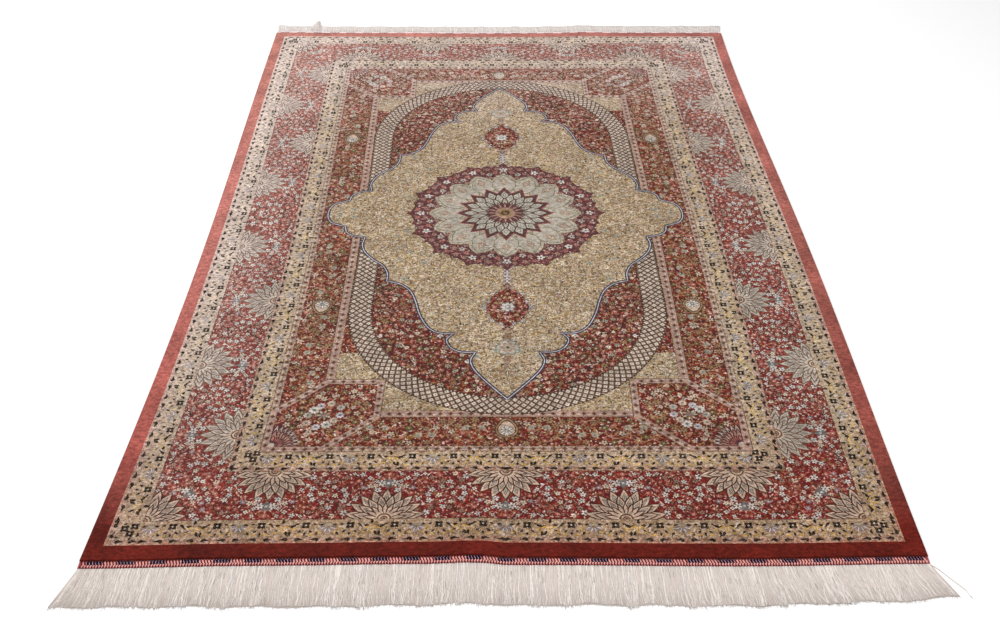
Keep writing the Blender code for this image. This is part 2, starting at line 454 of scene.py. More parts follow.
def guard_run(length, width, first):
    """Beige guard: four-dot flowers from `first` on, with yellow lilies and pale sprays in turn
    between them, and black leaves along both edges."""
    low = INNER_STRIPE if width > OUTER_GUARD else 0.0
    high = width - GUARD_EDGE
    middle = (low + high) / 2
    leaves = (
        # x, y, turn, dye
        (-9, 7, 2.3, "ink"), (9, 7, 0.8, "ink"), (0, 12, 1.6, "ink"), (-14, -9, 2.8, "ink"),
        (14, -9, 0.35, "ink"), (-17, 2, 1.9, "cream"), (17, 2, 1.2, "ochre"), (-10, 14, 2.9, "ochre"),
        (10, 14, 0.3, "ochre"), (-22, -4, 2.4, "cream"), (22, -4, 0.7, "ochre"), (-24, 9, 0.5, "ochre"),
        (24, 9, 2.6, "ochre"),
    )
    shapes = []
    for number, s in enumerate(np.arange(6.0, length, 25.4)):
        way = 1 if number % 2 else -1
        shapes += placed([(dye, outline * (way, 1)) for dye, outline in leaf_mark()], (s, high + 4.4),
                         0.25 * way)
        shapes += placed([("pink", leaf(13.0, 2.0))], (s + 6, high + 9.0), 0.0)
    for number, s in enumerate(np.arange(first - REPEAT, length, REPEAT)):
        if s > -8:
            shapes += placed(four_dots(), (s, middle - 6.5))
        for x, y, turn, dye in leaves:
            if s + x > 4:
                shape = leaf(9.0, 4.8, -4) if dye == "ink" else leaf(11.0, 3.8, -5)
                shapes += placed([(dye, shape)], (s + x, middle + y), turn)
        if s + REPEAT / 2 > -3:
            shapes += placed(lily() if number % 2 else spray(), (s + REPEAT / 2, middle))
    return shapes + (dotted_stripe(length, low) if low else [])


def dotted_stripe(length, width, pitch=19.0):
    """Dark-eyed small flowers at even steps on a narrow stripe, with tiny pale leaves between."""
    shapes = []
    for s in np.arange(pitch / 2, length, pitch):
        shapes += placed([("umber", star(4, 5.4, 3.4)), ("wine", disc(2.6, 4))], (s, width / 2))
        for turn, dye in ((0.35, "mist"), (TAU / 2 - 0.35, "lavender"), (-0.5, "lilac")):
            shapes += placed([(dye, leaf(6.0, 2.8, 5.4))], (s, width / 2), turn)
    return shapes


CELL = 200.0            # design length between two sunflowers of the main border
SUNFLOWER_REACH = 67.0
CROWN_AT = 82           # from a sunflower's foot to the middle of the palmette on its tip
CROWN_REACH = 21
FLOWER_GAP, LEAF_GAP = 12.2, 6.3                # least distance between the main border's small motifs
LEAF_LONG = 6.0


def border_cell(seed):
    """First half of a cell: flowers, scrolls and leaves from a sunflower on the inner edge at 0 to
    the middle between it and the next one."""

    def clear(spots):
        """Outside this sunflower and its crown, and outside the next sunflower."""
        away = np.hypot(spots[:, 0], spots[:, 1]) > SUNFLOWER_REACH
        away &= np.hypot(spots[:, 0], spots[:, 1] - CROWN_AT) > CROWN_REACH
        return away & (np.hypot(spots[:, 0] - CELL, spots[:, 1] - MAIN) > SUNFLOWER_REACH)

    flowers = apart((0, 5), (CELL / 2 - 4, MAIN - 5), FLOWER_GAP, seed, 1800, clear)
    leaves = apart((0, 2), (CELL / 2, MAIN - 2), LEAF_GAP, seed + 2, 3000, clear, flowers)
    scrolls = [("bark", ribbon(spiral(radius, turns, 20) + (x, y), 2.4))
               for x, y, radius, turns in ((62, MAIN - 36, 30, 1.2), (96, 30, 24, -1.2))]
    return scrolls + commas(leaves, "border", LEAF_LONG, seed + 3) + strewn(flowers, "border", seed + 4)


def main_run(length, sunflowers, seed, dyes):
    """Main border: sunflowers (place, 0 on the inner or 1 on the outer edge), and half a cell from
    each one towards the next and back from the next. Shapes past the run's end are left out."""
    shapes = []
    half_cell = border_cell(seed)
    for near, far in zip(sunflowers[:-1], sunflowers[1:]):
        for (s, side), way in ((near, 1), (far, -1)):
            scale = np.array((way * (far[0] - near[0]) / CELL, 1 - 2 * side))
            shapes += [(dye, outline * scale + (s, MAIN * side)) for dye, outline in half_cell]
    bulge = np.array([(-70, -4), (70, -4), (60, 5), (40, 9), (-40, 9), (-60, 5)])
    foot = [(dyes[0], bulge * (1.03, 1.15)), ("beige", bulge)]
    for s, side in sunflowers:
        flip = 1 - 2 * side
        shapes += placed(foot + sunflower((9, 8, 9), 0.0, TAU / 2, *dyes), (s, MAIN * side), flip=flip)
        shapes += placed(crown(), (s, MAIN * side + flip * CROWN_AT), flip=flip)
    return [(dye, outline) for dye, outline in shapes if outline[:, 0].mean() < length - 1]


def inner_run(length, seed):
    """Inner red band: pale scrolls and split leaves at even steps, tan and sand blossoms between."""
    middle = INNER_BAND / 2
    steps = [(s, 1 if number % 2 == 0 else -1) for number, s in enumerate(np.arange(60.0, length, 88.0))]
    shapes = []
    for s, side in steps:
        for x, y, radius, turns in ((6, side * 6, 27, 1.1 * side), (48, 0, 24, -1.1 * side)):
            shapes.append(("tan", ribbon(spiral(radius, turns, 18) + (s + x, middle + y), 2.6)))
    spots = apart((34, 6), (length, INNER_BAND - 6), 15.5, seed + 2, 2500, lambda spots: spots[:, 0] > 0)
    shapes += strewn(spots, "inner", seed + 4)
    for s, side in steps:
        for x in (-13, 13):
            shapes += placed(tulip("celadon", "slate", 9), (s + x, middle - side * 8),
                             side * TAU / 4 + 0.05 * x)
    return shapes


def laid_round(inner_x, inner_y, end_run, side_run):
    """An end run moved out to the end, and a side run turned along the side."""
    return ([(dye, outline + (0, inner_y)) for dye, outline in end_run]
            + [(dye, outline[:, ::-1] + (inner_x, 0)) for dye, outline in side_run])


def guard_corner(width):
    """Where a guard turns: three four-dot flowers round the diagonal with black leaves."""
    high = width - GUARD_EDGE
    shapes = []
    middle = high / 2
    for x, y, turn in ((12, 14, 0.2), (-8, 14, 1.2), (-16, 4, 2.0), (4, -16, 0.4)):
        shapes += placed([("ink", leaf(9, 4.4))], (middle + x, middle + y), turn)
    for x, y in ((-8.5, -8.5), (7, -4), (-4, 7)):
        shapes += placed(four_dots(), (middle + x, middle + y))
    for s in np.arange(6, width - 4, 22.0):
        shapes += placed(leaf_mark(), (s, high + 4), 0.25)
        shapes += placed(leaf_mark(), (high + 4, s), TAU / 4)
    return shapes


def main_corner():
    """Quarter of a sunflower in the main border's outer corner, with its crown on the diagonal."""

    def clear(spots):
        """Outside the sunflower."""
        return np.hypot(spots[:, 0] - MAIN, spots[:, 1] - MAIN) > SUNFLOWER_REACH

    flowers = apart((6, 6), (MAIN, MAIN), FLOWER_GAP, 71, 1500, clear)
    leaves = apart((2, 2), (MAIN, MAIN), LEAF_GAP, 72, 2400, clear, flowers)
    shapes = commas(leaves, "border", LEAF_LONG, 73) + strewn(flowers, "border", 74)
    shapes += placed(sunflower((5, 4, 5), TAU / 2, TAU / 4), (MAIN, MAIN))
    shapes += placed(crown(), (MAIN - 60, MAIN - 60), TAU * 3 / 8)
    return shapes


# ---- field -------------------------------------------------------------------------------------

NET_OUT = 331.0         # the net is a stadium: straight sides, and half circles about (0, NET_CENTER)
NET_CENTER = 363.0
NET_WIDE = 49.0
NET_ROWS = 3
NET_PITCH = 15.5        # along the stadium, stretched to fit
LOBES = 16              # of the centre rosette
RING = 212.0

# Medallion outline from the side's tip to the end's tip: (x, y, 1 at a cusp)
MEDALLION = (
    (416, 0, 0), (415, 14, 0), (411, 28, 0), (400, 43, 0), (370, 57, 1), (366, 78, 0),
    (351, 94, 0), (321, 101, 1), (325, 131, 0), (316, 162, 0), (295, 191, 0), (273, 213, 0),
    (261, 242, 0), (260, 272, 1), (241, 277, 0), (224, 287, 0), (206, 309, 0), (194, 343, 0),
    (186, 377, 0), (175, 409, 0), (160, 436, 0), (138, 451, 0), (109, 452, 1), (123, 471, 0),
    (115, 496, 0), (94, 511, 0), (64, 512, 1), (73, 537, 0), (64, 567, 0), (37, 606, 0),
    (0, 652, 1),
)
CARTOUCHE = ((248, 607), (341, 607), (426, 688), (426, 776), (333, 776), (248, 697))


def flowing(rows, per_span=4):
    """Catmull-Rom curve through the rows, broken at each cusp."""
    places = np.array([row[:2] for row in rows], float)
    cusps = sorted({0, len(rows) - 1} | {at for at, row in enumerate(rows) if row[2]})
    share = (np.arange(per_span) / per_span)[:, None]
    pieces = []
    for first, last in zip(cusps[:-1], cusps[1:]):
        knots = places[first:last + 1]
        ends = np.concatenate([[2 * knots[0] - knots[1]], knots, [2 * knots[-1] - knots[-2]]])
        for before, here, there, after in zip(ends, ends[1:], ends[2:], ends[3:]):
            bend = 2 * before - 5 * here + 4 * there - after
            twist = 3 * here - before - 3 * there + after
            pieces.append((2 * here + (there - before) * share + bend * share**2 + twist * share**3) / 2)
    return np.concatenate(pieces + [places[-1:]])


def moved_in(line, distance):
    """Line shifted square to its own run, towards the rug's middle."""
    return line + normals(line) * distance


def quartered(line):
    """Closed quarter of a form: its outline, a little past both axes, and the middle."""
    beyond = 9.0
    start, end = line[0], line[-1]
    return np.concatenate([[(start[0], -beyond)], line, [(-beyond, end[1]), (-beyond, -beyond)]])


def stadium(radius, corners=30):
    """Quarter outline of the net's form at that radius."""
    return polar(radius, np.linspace(0, TAU / 4, corners)) + (0, NET_CENTER)


def net():
    """Pale diamonds between dark crossing lines, laid (along, across) and bent round the stadium:
    straight up to NET_CENTER, then along an arc through the middle of the net's width. Each
    diamond has a white fleck and a dark heart."""
    middle = NET_OUT - NET_WIDE / 2
    length = NET_CENTER + middle * TAU / 4
    row_height = NET_WIDE / NET_ROWS
    margin = 1.5    # bare ground along both edges
    columns = int(round(length / NET_PITCH))
    pitch = length / columns

    def bent(outline):
        """Points (along, across) bent round the stadium."""
        along, across = outline.T
        angle = np.clip((along - NET_CENTER) / middle, 0, None)
        return (polar(NET_OUT - NET_WIDE + across, angle)
                + joined(np.zeros(len(along)), np.minimum(along, NET_CENTER)))

    diamond = np.array([(0, -row_height / 2), (pitch / 2, 0), (0, row_height / 2), (-pitch / 2, 0)])
    shapes = []
    for row in range(-1, 2 * NET_ROWS):
        for column in range(columns + 1):
            spot = np.array(((column + row % 2 / 2) * pitch, (row + 1) * row_height / 2))
            for dye, size in (("rose" if row % 2 else "sand", 0.74), ("pearl", 0.46), ("umber", 0.19)):
                piece = spot + diamond * size
                piece[:, 1] = np.clip(piece[:, 1], margin, NET_WIDE - margin)
                if np.ptp(piece[:, 1]) > 2:
                    shapes.append((dye, bent(piece)))
    return shapes + [("bark", bent(disc(3.4, 5) + (along, across)))
                     for across in (1.0, NET_WIDE - 1.0) for along in np.arange(3, length, 8.0)]


def rosette_ring():
    """Flowers on the wine ring round the centre rosette: a pale one in each lobe and in each notch."""
    step = TAU / LOBES
    flowers = (
        # place as a share of a lobe, distance from the middle, dye, size
        (0, 198, "pearl", 9.2), (0.5, 179, "mist", 8.0), (0.5, 204, "rose", 6.8),
        (0.22, 206, "pink", 6.0), (0.78, 206, "rose", 6.0), (0.28, 187, "rose", 6.4),
        (0.72, 187, "pink", 6.4), (0.5, 163, "rose", 5.6),
    )
    shapes = []
    for offset, radius, dye, size in flowers:
        for turn in (np.arange(6) + offset) * step:
            shapes += placed(blossom(dye, "wine", size), polar(radius, turn), turn)

    def keep(spots):
        """Near the ring's middle line."""
        return np.abs(np.hypot(*spots.T) - 186) < 34

    flecks = apart((0, 0), (RING + 14, RING + 14), 8.0, 51, 3000, keep)
    return commas(flecks, "ring", 8.5, 52) + shapes


def rosette_heart():
    """Sixteen pointed petals with a faint drop in each; inside them a wine star with a thin pink
    edge, rings of outlined petals, a ring of pink rays and the eye."""
    step = TAU / LOBES
    full = (0.5, 1.0, 1.0, 0.66)
    shapes = wreath([("olive", petal(98, 76, 57, full)), ("mist", petal(99.5, 72.5, 53.5, full))], 6,
                    low=-step / 2, spread=step * 6)
    shapes += wreath([("tan", leaf(36, 21, 126)), ("mist", leaf(28, 14.5, 129)),
                      ("rose", lobed(5, 6.0, 3.4) + (141, 0)), ("pearl", disc(2.4, 4) + (141, 0))], 6,
                     low=-step / 2, spread=step * 6)
    shapes += [("pink", star(LOBES, 117, 90)), ("wine", star(LOBES, 114, 87.5))]
    for start, length, width, offset in ((56, 45, 26, 0.0), (45, 42, 23, 0.5), (34, 34, 17, 0.0)):
        one = [("bark", petal(start, length, width)),
               ("mist", petal(start + 2.2, length - 6.4, width - 6.2)),
               ("slate", leaf(length * 0.42, width * 0.34, start + length * 0.32)),
               ("cream", leaf(length * 0.26, width * 0.18, start + length * 0.40))]
        shapes += wreath(one, 6, low=(offset - 0.5) * step, spread=step * 6)
    shapes += [("wine", star(LOBES, 50, 33))]
    shapes += wreath([("rose", petal(22, 22, 4.6, (0.8, 1.0, 0.6)))], 16, low=step / 2)
    return shapes + [("wine", disc(25.5, 16)), ("rose", disc(24, 16)), ("tan", disc(17.5, 12)),
                     ("bark", disc(11, 12)), ("gold", star(6, 7.0, 3.4)), ("bark", disc(2.6, 6))]


def scalloped(tip, notch, point, power):
    """Quarter outline of the rosette's lobes. The radius swings from notch to tip as a power of a
    cosine over each lobe; a narrow bell adds a point on each lobe and in each notch."""
    angle = np.linspace(0, TAU / 4, 129)
    step = TAU / LOBES
    off = np.mod(angle + step / 2, step) - step / 2
    nearest = np.mod(angle + step / 4, step / 2) - step / 4
    swing = np.abs(np.cos(np.pi * off / step)) ** power
    return polar(notch + (tip - notch) * swing + point * np.exp(-(nearest / 0.030) ** 2), angle)


PENDANT_Y = 364.0


def pendants():
    """Flowers on the stems beyond the rosette, the lozenge's outline, and the small vase beyond it."""
    shapes = [("mist", rectangle(-9, 6.5, 224, 300))]
    for y in np.arange(230, 300, 12.0):
        shapes += placed(blossom("lavender", "slate", 7.0, 4, "umber"), (0, y))
    for size, dye in ((1.05, "rose"), (1.02, "slate"), (0.985, "bark")):
        shapes.append((dye, lozenge(size)))
    for number, spot in enumerate(lozenge(1.0)[::2]):
        dye = ("lavender", "pink", "pearl")[number % 3]
        shapes += placed(blossom(dye, "slate", 6.0, 5, "wine"), spot, number)
    for side in (-1, 1):
        shapes += placed([("slate", lobed(5, 9, 5)), ("pearl", lobed(5, 5, 3))], (44 * side, PENDANT_Y))
    for y in (PENDANT_Y - 74, PENDANT_Y + 74):
        shapes += placed([("wine", star(4, 13, 6)), ("rose", star(4, 8, 3.2))], (0, y))
    shapes.append(("rose", rectangle(-9, 4.0, 440, 560)))
    for y in np.arange(446, 560, 13.0):
        shapes += placed(blossom("celadon", "umber", 4.8, 4), (0, y))
    vase = [("slate", lobed(6, 25, 18)), ("mist", lobed(6, 22.5, 15.5)), ("rose", lobed(6, 15, 9)),
            ("celadon", star(6, 11, 7)), ("umber", disc(4.4, 5))]
    knob = [("umber", star(6, 12, 7)), ("rose", star(6, 9, 5)), ("umber", disc(3.2, 5))]
    shapes += placed(vase, (0, 497)) + placed(knob, (0, 462)) + placed(knob, (0, 532))
    return shapes + placed([("olive", leaf(34, 8)), ("cream", leaf(22, 3, 4))], (0, 562), TAU / 4)


def lozenge(size):
    """Scalloped lozenge round PENDANT_Y: a circle's cosine and sine, each drawn in by a power, with
    a swell eight times round."""
    angle = TAU * np.arange(32) / 32
    way = np.array((np.cos(angle), np.sin(angle)))
    reach = (1 + 0.07 * np.cos(angle * 8)) * np.abs(way) ** 1.3
    return (np.sign(way) * reach * ((46,), (66,))).T * size + (0, PENDANT_Y)


def pendant_flowers():
    """White flower in the middle of the lozenge, tan and pink ones round it."""
    shapes = []
    for number, (x, y) in enumerate(((28, 0), (17, 27), (17, -27), (0, 46), (0, -46), (12, 13), (24, 14),
                                     (24, -14), (12, -14), (6, 32), (6, -32))):
        dye = ("pink", "tan", "rose")[number % 3]
        shapes += placed(blossom(dye, "cream", 5.6), (x, PENDANT_Y + y), number)
    shapes += placed([("slate", lobed(8, 17, 12)), ("pearl", lobed(8, 15, 10)), ("lilac", star(8, 9, 5)),
                      ("cream", disc(3.2, 6))], (0, PENDANT_Y))
    return shapes


def spread_out(outline, distance):
    """Convex anticlockwise outline with every side moved out by the same distance."""
    step = np.roll(outline, -1, axis=0) - outline
    step /= np.linalg.norm(step, axis=1, keepdims=True)
    out = joined(step[:, 1], -step[:, 0])
    before = np.roll(out, 1, axis=0)
    return outline + (out + before) * (distance / (1 + np.sum(out * before, axis=1)))[:, None]


def cartouche_frame():
    """Dotted stripe along each of the corner cartouche's six sides."""
    outline = np.array(CARTOUCHE, float)
    shapes = []
    for here, there in zip(outline, np.roll(outline, -1, axis=0)):
        run = there - here
        turn = np.arctan2(run[1], run[0])
        shapes += placed(dotted_stripe(np.hypot(*run), INNER_STRIPE), here, turn, flip=-1)
    return shapes


def cartouche():
    """Corner cartouche: blossoms, an oval of pale asters, and a fan in its outer corner."""
    outline = np.array(CARTOUCHE, float)
    low, high = outline.min(axis=0), outline.max(axis=0)
    middle = np.array((339.0, 694.0))
    inner = spread_out(outline, -7)
    flowers = apart(low, high, 13.2, 83, 2200,
                    lambda spots: within(inner, spots) & (np.hypot(*(spots - middle).T) > 42))
    shapes = strewn(flowers, "inner", 84)
    for number, angle in enumerate(np.arange(10) * TAU / 10):
        size = 10.5 if number in (3, 9) else 8.2
        dye = "pearl" if number in (3, 9) else ("mist", "sand", "lavender")[number % 3]
        reach = 30 * (1 + 0.2 * np.cos(2 * (angle - TAU / 8)))
        spot = middle + polar(reach, angle)
        shapes += placed([("umber", lobed(8, size + 1.2, size * 0.8)), (dye, lobed(8, size, size * 0.7)),
                          ("slate", star(4, size * 0.5, size * 0.25))], spot, number)
    full = (0.5, 1, 0.7)
    for number, turn in enumerate(np.arange(7) * TAU / 7):
        dye = ("celadon", "rose", "tan")[number % 3]
        shapes += placed([("bark", petal(3, 15, 8.5, full)), (dye, petal(4, 12, 5.5, full)),
                          ("cream", leaf(6, 2, 8))], middle, turn)
    shapes += placed([("slate", star(6, 7, 4)), ("pink", disc(3.0, 5))], middle)
    foot = np.array((424, 774))
    for reach, width, dye in ((58, 16, "mist"), (44, 13, "rose"), (28, 9, "pink")):
        one = [("wine", petal(8, reach - 8, width)), (dye, petal(12, reach - 17, width * 0.55))]
        shapes += wreath(one, 8, low=np.radians(180), spread=np.radians(90), at=foot)
    shapes += placed([("wine", disc(13, 10)), ("mist", disc(8, 8))], foot)
    return shapes


def field_flowers(medallion):
    """Red ground inside the net: scrolls, split leaves and blossoms up to the medallion."""
    inner = quartered(stadium(NET_OUT - NET_WIDE - 4))
    clear_of = medallion * 0.975

    def keep(spots):
        """Inside the net and outside the medallion."""
        return within(inner, spots) & ~within(clear_of, spots)

    shapes = []
    flowers = apart((0, 0), (290, 650), 13.4, 33, 7000, keep)
    random = np.random.default_rng(35)
    for spot in flowers[::2]:
        shapes += placed([("bark", ribbon(spiral(16, 0.9, 10), 2.2))], spot, random.uniform(0, TAU))
    return shapes + strewn(flowers, "field", 34)


def medallion_flowers(inside):
    """Faint round flowers strewn over the medallion's beige ground."""

    def keep(spots):
        """Inside the medallion and outside the ring."""
        return within(inside * 0.96, spots) & (np.hypot(*spots.T) > RING + 18)

    return strewn(apart((0, 0), (410, 640), 31.0, 43, 1500, keep), "medallion", 44)


def quarter_design():
    """The whole quarter, zone by zone: (grain, grounds, motifs). Later grounds cover earlier ones,
    and a zone's motifs show only where its own ground is on top."""
    line = 0.7      # half of a dark line between two bands
    step_x, step_y = HALF_X / (END_STEPS // 2), HALF_Y / (SIDE_STEPS // 2)
    x, y = HALF_X, HALF_Y

    def nested(dye, inset):
        """Rectangle from past the middle to `inset` inside the current band's outer edge, with a
        corner at each of the rim's steps, so that it bends with the rug."""
        # Each starts at a place of its own past the middle, so no two of them share a line there
        back = -9.0 - 0.37 * (HALF_X - x + inset)
        across = np.append(np.arange(0, x - inset - 1, step_x), x - inset)
        along = np.append(np.arange(0, y - inset - 1, step_y), y - inset)
        side = joined(np.full_like(along, x - inset), along)
        end = joined(across, np.full_like(across, y - inset))[-2::-1]
        return dye, np.concatenate([[(back, back), (x - inset, back)], side, end, [(back, y - inset)]])

    def band(grain, width, grounds, run, end_values, side_values, corner=()):
        """Zone of the next band inwards: its grounds (dye, inset), a run along the end and one along
        the side, and what lies at its inner corner."""
        nonlocal x, y
        inner = x - width, y - width
        motifs = laid_round(*inner, run(inner[0], *end_values), run(inner[1], *side_values))
        zones.append((grain, [nested(*ground) for ground in grounds], motifs + placed(corner, inner)))
        x, y = inner

    across = np.linspace(0, HALF_X, END_STEPS // 2 + 1)
    along = np.linspace(0, HALF_Y, SIDE_STEPS // 2 + 1)
    rim = np.concatenate([joined(np.full_like(along, HALF_X), along),
                          joined(across, np.full_like(across, HALF_Y))[-2::-1], [(0, 0)]])
    zones = [("plain", [("plain_red", rim), nested("plain_red", 0.5), nested("plain_red", 1.6)], [])]

    x, y = x - PLAIN, y - PLAIN
    band("guard", OUTER_GUARD, (("salmon", -1.0), ("dun", 1.0), ("beige", GUARD_EDGE)),
         guard_run, (OUTER_GUARD, 36.3), (OUTER_GUARD, 0.0), guard_corner(OUTER_GUARD))
    band("border", MAIN, (("bark", -line), ("border_red", line)), main_run,
         (((0, 0), (202, 1), (403, 0), (600, 1)), 21, ("bark", "sand")),
         (((-137, 1), (137, 1), (340, 0), (550, 1), (745, 0), (950, 1)), 21, ("umber", "mist")),
         main_corner())
    inset = INNER_GUARD - INNER_STRIPE
    band("guard", INNER_GUARD, (("bark", -line), ("dun", line), ("oat", GUARD_EDGE), ("bark", inset - line),
                                ("dun", inset + line)),
         guard_run, (INNER_GUARD, 20.0), (INNER_GUARD, 64.5), guard_corner(INNER_GUARD))
    band("red", INNER_BAND, (("bark", -line), ("band_red", line)), inner_run, (25,), (27,))
    zones[-1][2].extend(placed(arch_rosette(), (0, y + 34), -TAU / 2)
                        + placed(arch_rosette(), (x + 38, 357)))
    band("stripe", STRIPE, (("bark", -line), ("dun", line)),
         lambda length: dotted_stripe(length + STRIPE, STRIPE), (), ())

    medallion = flowing(MEDALLION)
    inside = quartered(moved_in(medallion, 5.0))
    medallion_lines = ((-3.4, "navy"), (-1.0, "lilac"), (-0.4, "lavender"), (1.2, "navy"))
    hexagon = np.array(CARTOUCHE, float)
    ring = scalloped(RING + 7, RING - 4, 12.0, 0.8)
    petals = scalloped(176, 147, 3.0, 0.7)
    return zones + [
        ("pale", [nested("bark", -line), nested("beige", line)], []),
        ("red", [("field_red", rectangle(150, x - line, -31, 514))], []),
        ("net", [("bark", quartered(stadium(NET_OUT)))], net()),
        ("red", [("field_red", quartered(stadium(NET_OUT - NET_WIDE)))], field_flowers(inside)),
        ("stripe", [("bark", spread_out(hexagon, INNER_STRIPE + line)),
                    ("dun", spread_out(hexagon, INNER_STRIPE - line))], cartouche_frame()),
        ("red", [("bark", spread_out(hexagon, line)), ("band_red", spread_out(hexagon, -line))],
         cartouche()),
        ("line", [(dye, quartered(moved_in(medallion, by))) for by, dye in medallion_lines], []),
        ("pale", [("beige", quartered(moved_in(medallion, 4.3)))], medallion_flowers(inside) + pendants()),
        ("red", [("field_red", lozenge(0.955))], pendant_flowers()),
        ("ring", [("bark", quartered(ring * 1.008)), ("plum", quartered(ring))], rosette_ring()),
        ("petal", [("bark", quartered(petals * 1.01)), ("mist", quartered(petals))], rosette_heart()),
    ]


# ---- weaving -----------------------------------------------------------------------------------

def turned_left(outline):
    """The outline, anticlockwise: its signed area is half the sum of the crossed neighbours."""
    there = np.roll(outline, -1, axis=0)
    area = np.sum(outline[:, 0] * there[:, 1] - there[:, 0] * outline[:, 1])
    return outline if area > 0 else outline[::-1]


def cut_to_triangles(zones):
    """Corners, triangles, and each triangle's dye and grain. The drawing's lines cut one another
    into triangles. A triangle takes the dye of the topmost shape of the zone whose ground is on
    top, and its zone's grain: all of it on a ground, MOTIF_GRAIN of it on a motif."""
    outlines, *columns = zip(*[
        (turned_left(outline), DYE_NAMES.index(dye), number, place < len(grounds))
        for number, (_, grounds, motifs) in enumerate(zones)
        for place, (dye, outline) in enumerate(grounds + motifs)
        if outline.max(axis=0).min() > 0])
    dyes, zone_of, is_ground = (np.array(column) for column in columns)
    ends = np.cumsum([len(outline) for outline in outlines])
    corners = [Vector(corner) for corner in np.concatenate(outlines).tolist()]
    loops = [list(range(end - len(outline), end)) for end, outline in zip(ends, outlines)]
    points, _, faces, _, _, covers = delaunay_2d_cdt(corners, [], loops, 1, 1e-5, True)

    triangle = np.repeat(np.arange(len(faces)), [len(cover) for cover in covers])
    cover = np.concatenate([np.array(cover, int) for cover in covers])
    ground = np.full(len(faces), -1)
    grounded = is_ground[cover]
    np.maximum.at(ground, triangle[grounded], cover[grounded])
    own = zone_of[cover] == zone_of[ground[triangle]]
    top = np.full(len(faces), -1)
    np.maximum.at(top, triangle[own], cover[own])
    base = np.zeros(len(faces), bool)
    base[triangle[cover == 0]] = True

    top = top[base]
    used, faces = np.unique(np.array(faces)[base], return_inverse=True)
    grain = np.array([GRAIN[name] for name, _, _ in zones])[zone_of[top]]
    grain[~is_ground[top], :2] *= MOTIF_GRAIN
    return np.array(points)[used] * MM, faces.reshape(-1, 3), dyes[top], grain


# How much each kind of ground shows of the pale leaves, the red ground's leaves and the plain strips'
# painted sheen and brushing tone
GRAIN = {
    "plain": (0.0, 0.0, 1.0),
    "line": (0.0, 0.0, 0.0),
    "guard": (0.7, 0.0, 0.0),
    "pale": (1.0, 0.0, 0.0),
    "petal": (0.65, 0.0, 0.0),
    "stripe": (0.25, 0.0, 0.0),
    "net": (0.2, 0.0, 0.0),
    "red": (0.0, 1.0, 0.0),
    "border": (0.0, 0.5, 0.0),
    "ring": (0.0, 0.2, 0.0),
}
MOTIF_GRAIN = 0.18


def level(x, y, height):
    """Points above x and y, all at one height."""
    return joined(x, y, np.full_like(x, height))


def linked(thing):
    """The object, put into the scene."""
    bpy.context.scene.collection.objects.link(thing)
    return thing


def add_piece(name, points, faces, sizes, material, node=None, smooth=False):
    """Mesh object from arrays: points, and the faces' corners end to end with each face's size."""
    mesh = bpy.data.meshes.new(name)
    mesh.vertices.add(len(points))
    mesh.vertices.foreach_set("co", np.asarray(points, np.float32).ravel())
    mesh.loops.add(len(faces))
    mesh.loops.foreach_set("vertex_index", np.asarray(faces, np.int32))
    mesh.polygons.add(len(sizes))
    mesh.polygons.foreach_set("loop_start", np.concatenate([[0], np.cumsum(sizes)[:-1]]).astype(np.int32))
    mesh.polygons.foreach_set("use_smooth", np.full(len(sizes), smooth))
    mesh.update(calc_edges=True)
    mesh.materials.append(material)
    piece = linked(bpy.data.objects.new(name, mesh))
    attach(piece, "root")
    if node:
        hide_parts(node)
    return piece


def color_corners(piece, name, colors):
    """Color attribute with one linear color for each face corner."""
    attribute = piece.data.color_attributes.new(name, "FLOAT_COLOR", "CORNER")
    covering = np.concatenate([colors, np.ones((len(colors), 1))], axis=1)
    attribute.data.foreach_set("color", covering.astype(np.float32).ravel())


def outer_edges(faces):
    """Edges that only one triangle has, as (from, to) in the triangle's own direction."""
    edges = np.concatenate([faces[:, [0, 1]], faces[:, [1, 2]], faces[:, [2, 0]]])
    key = np.sort(edges, axis=1)
    _, first, count = np.unique(key, axis=0, return_index=True, return_counts=True)
    return edges[first[count == 1]]


def make_pile_quarter(name, drawing, way_x, way_y, material):
    """One quarter of the pile: the drawing mirrored into place on top, walls down to the
    foundation and a plain bottom. Near its rim the top falls off along a quarter circle."""
    points, triangles, dyes, grain = drawing
    inset = np.minimum(WIDTH / 2 - points[:, 0], LENGTH / 2 - points[:, 1])
    fall = 1 - np.clip(inset / RIM_ROUND, 0, 1)
    x, y = lie(points[:, 0] * way_x, points[:, 1] * way_y)
    top = joined(x, y, CARPET_THICK - RIM_ROUND * (1 - np.sqrt(1 - fall**2)))
    if way_x * way_y < 0:
        triangles = triangles[:, ::-1]
    edges = outer_edges(triangles)
    rim, ends = np.unique(edges, return_inverse=True)
    bottom = level(*top[rim, :2].T, BACK_THICK)
    walls = np.concatenate([edges[:, ::-1], ends.reshape(-1, 2) + len(top)], axis=1)
    # The quarter is a rectangle, so the angle about its middle orders the rim; clockwise faces down
    angle = np.arctan2(points[rim, 1] - LENGTH / 4, points[rim, 0] - WIDTH / 4)
    under = np.argsort(-angle * way_x * way_y) + len(top)
    faces = np.concatenate([triangles.ravel(), walls.ravel(), under])
    sizes = np.concatenate([np.full(len(triangles), 3), np.full(len(walls), 4), [len(under)]])
    piece = add_piece(name, np.concatenate([top, bottom]), faces, sizes, material)
    colors = np.array([linear(code) for code in DYES.values()])
    rest = 4 * len(walls) + len(under)
    for attribute, drawn, plain in (("dye", colors[dyes], colors[DYE_NAMES.index("plain_red")]),
                                    ("grain", grain, GRAIN["plain"])):
        corners = [np.repeat(drawn, 3, axis=0), np.tile(plain, (rest, 1))]
        color_corners(piece, attribute, np.concatenate(corners))
    return piece


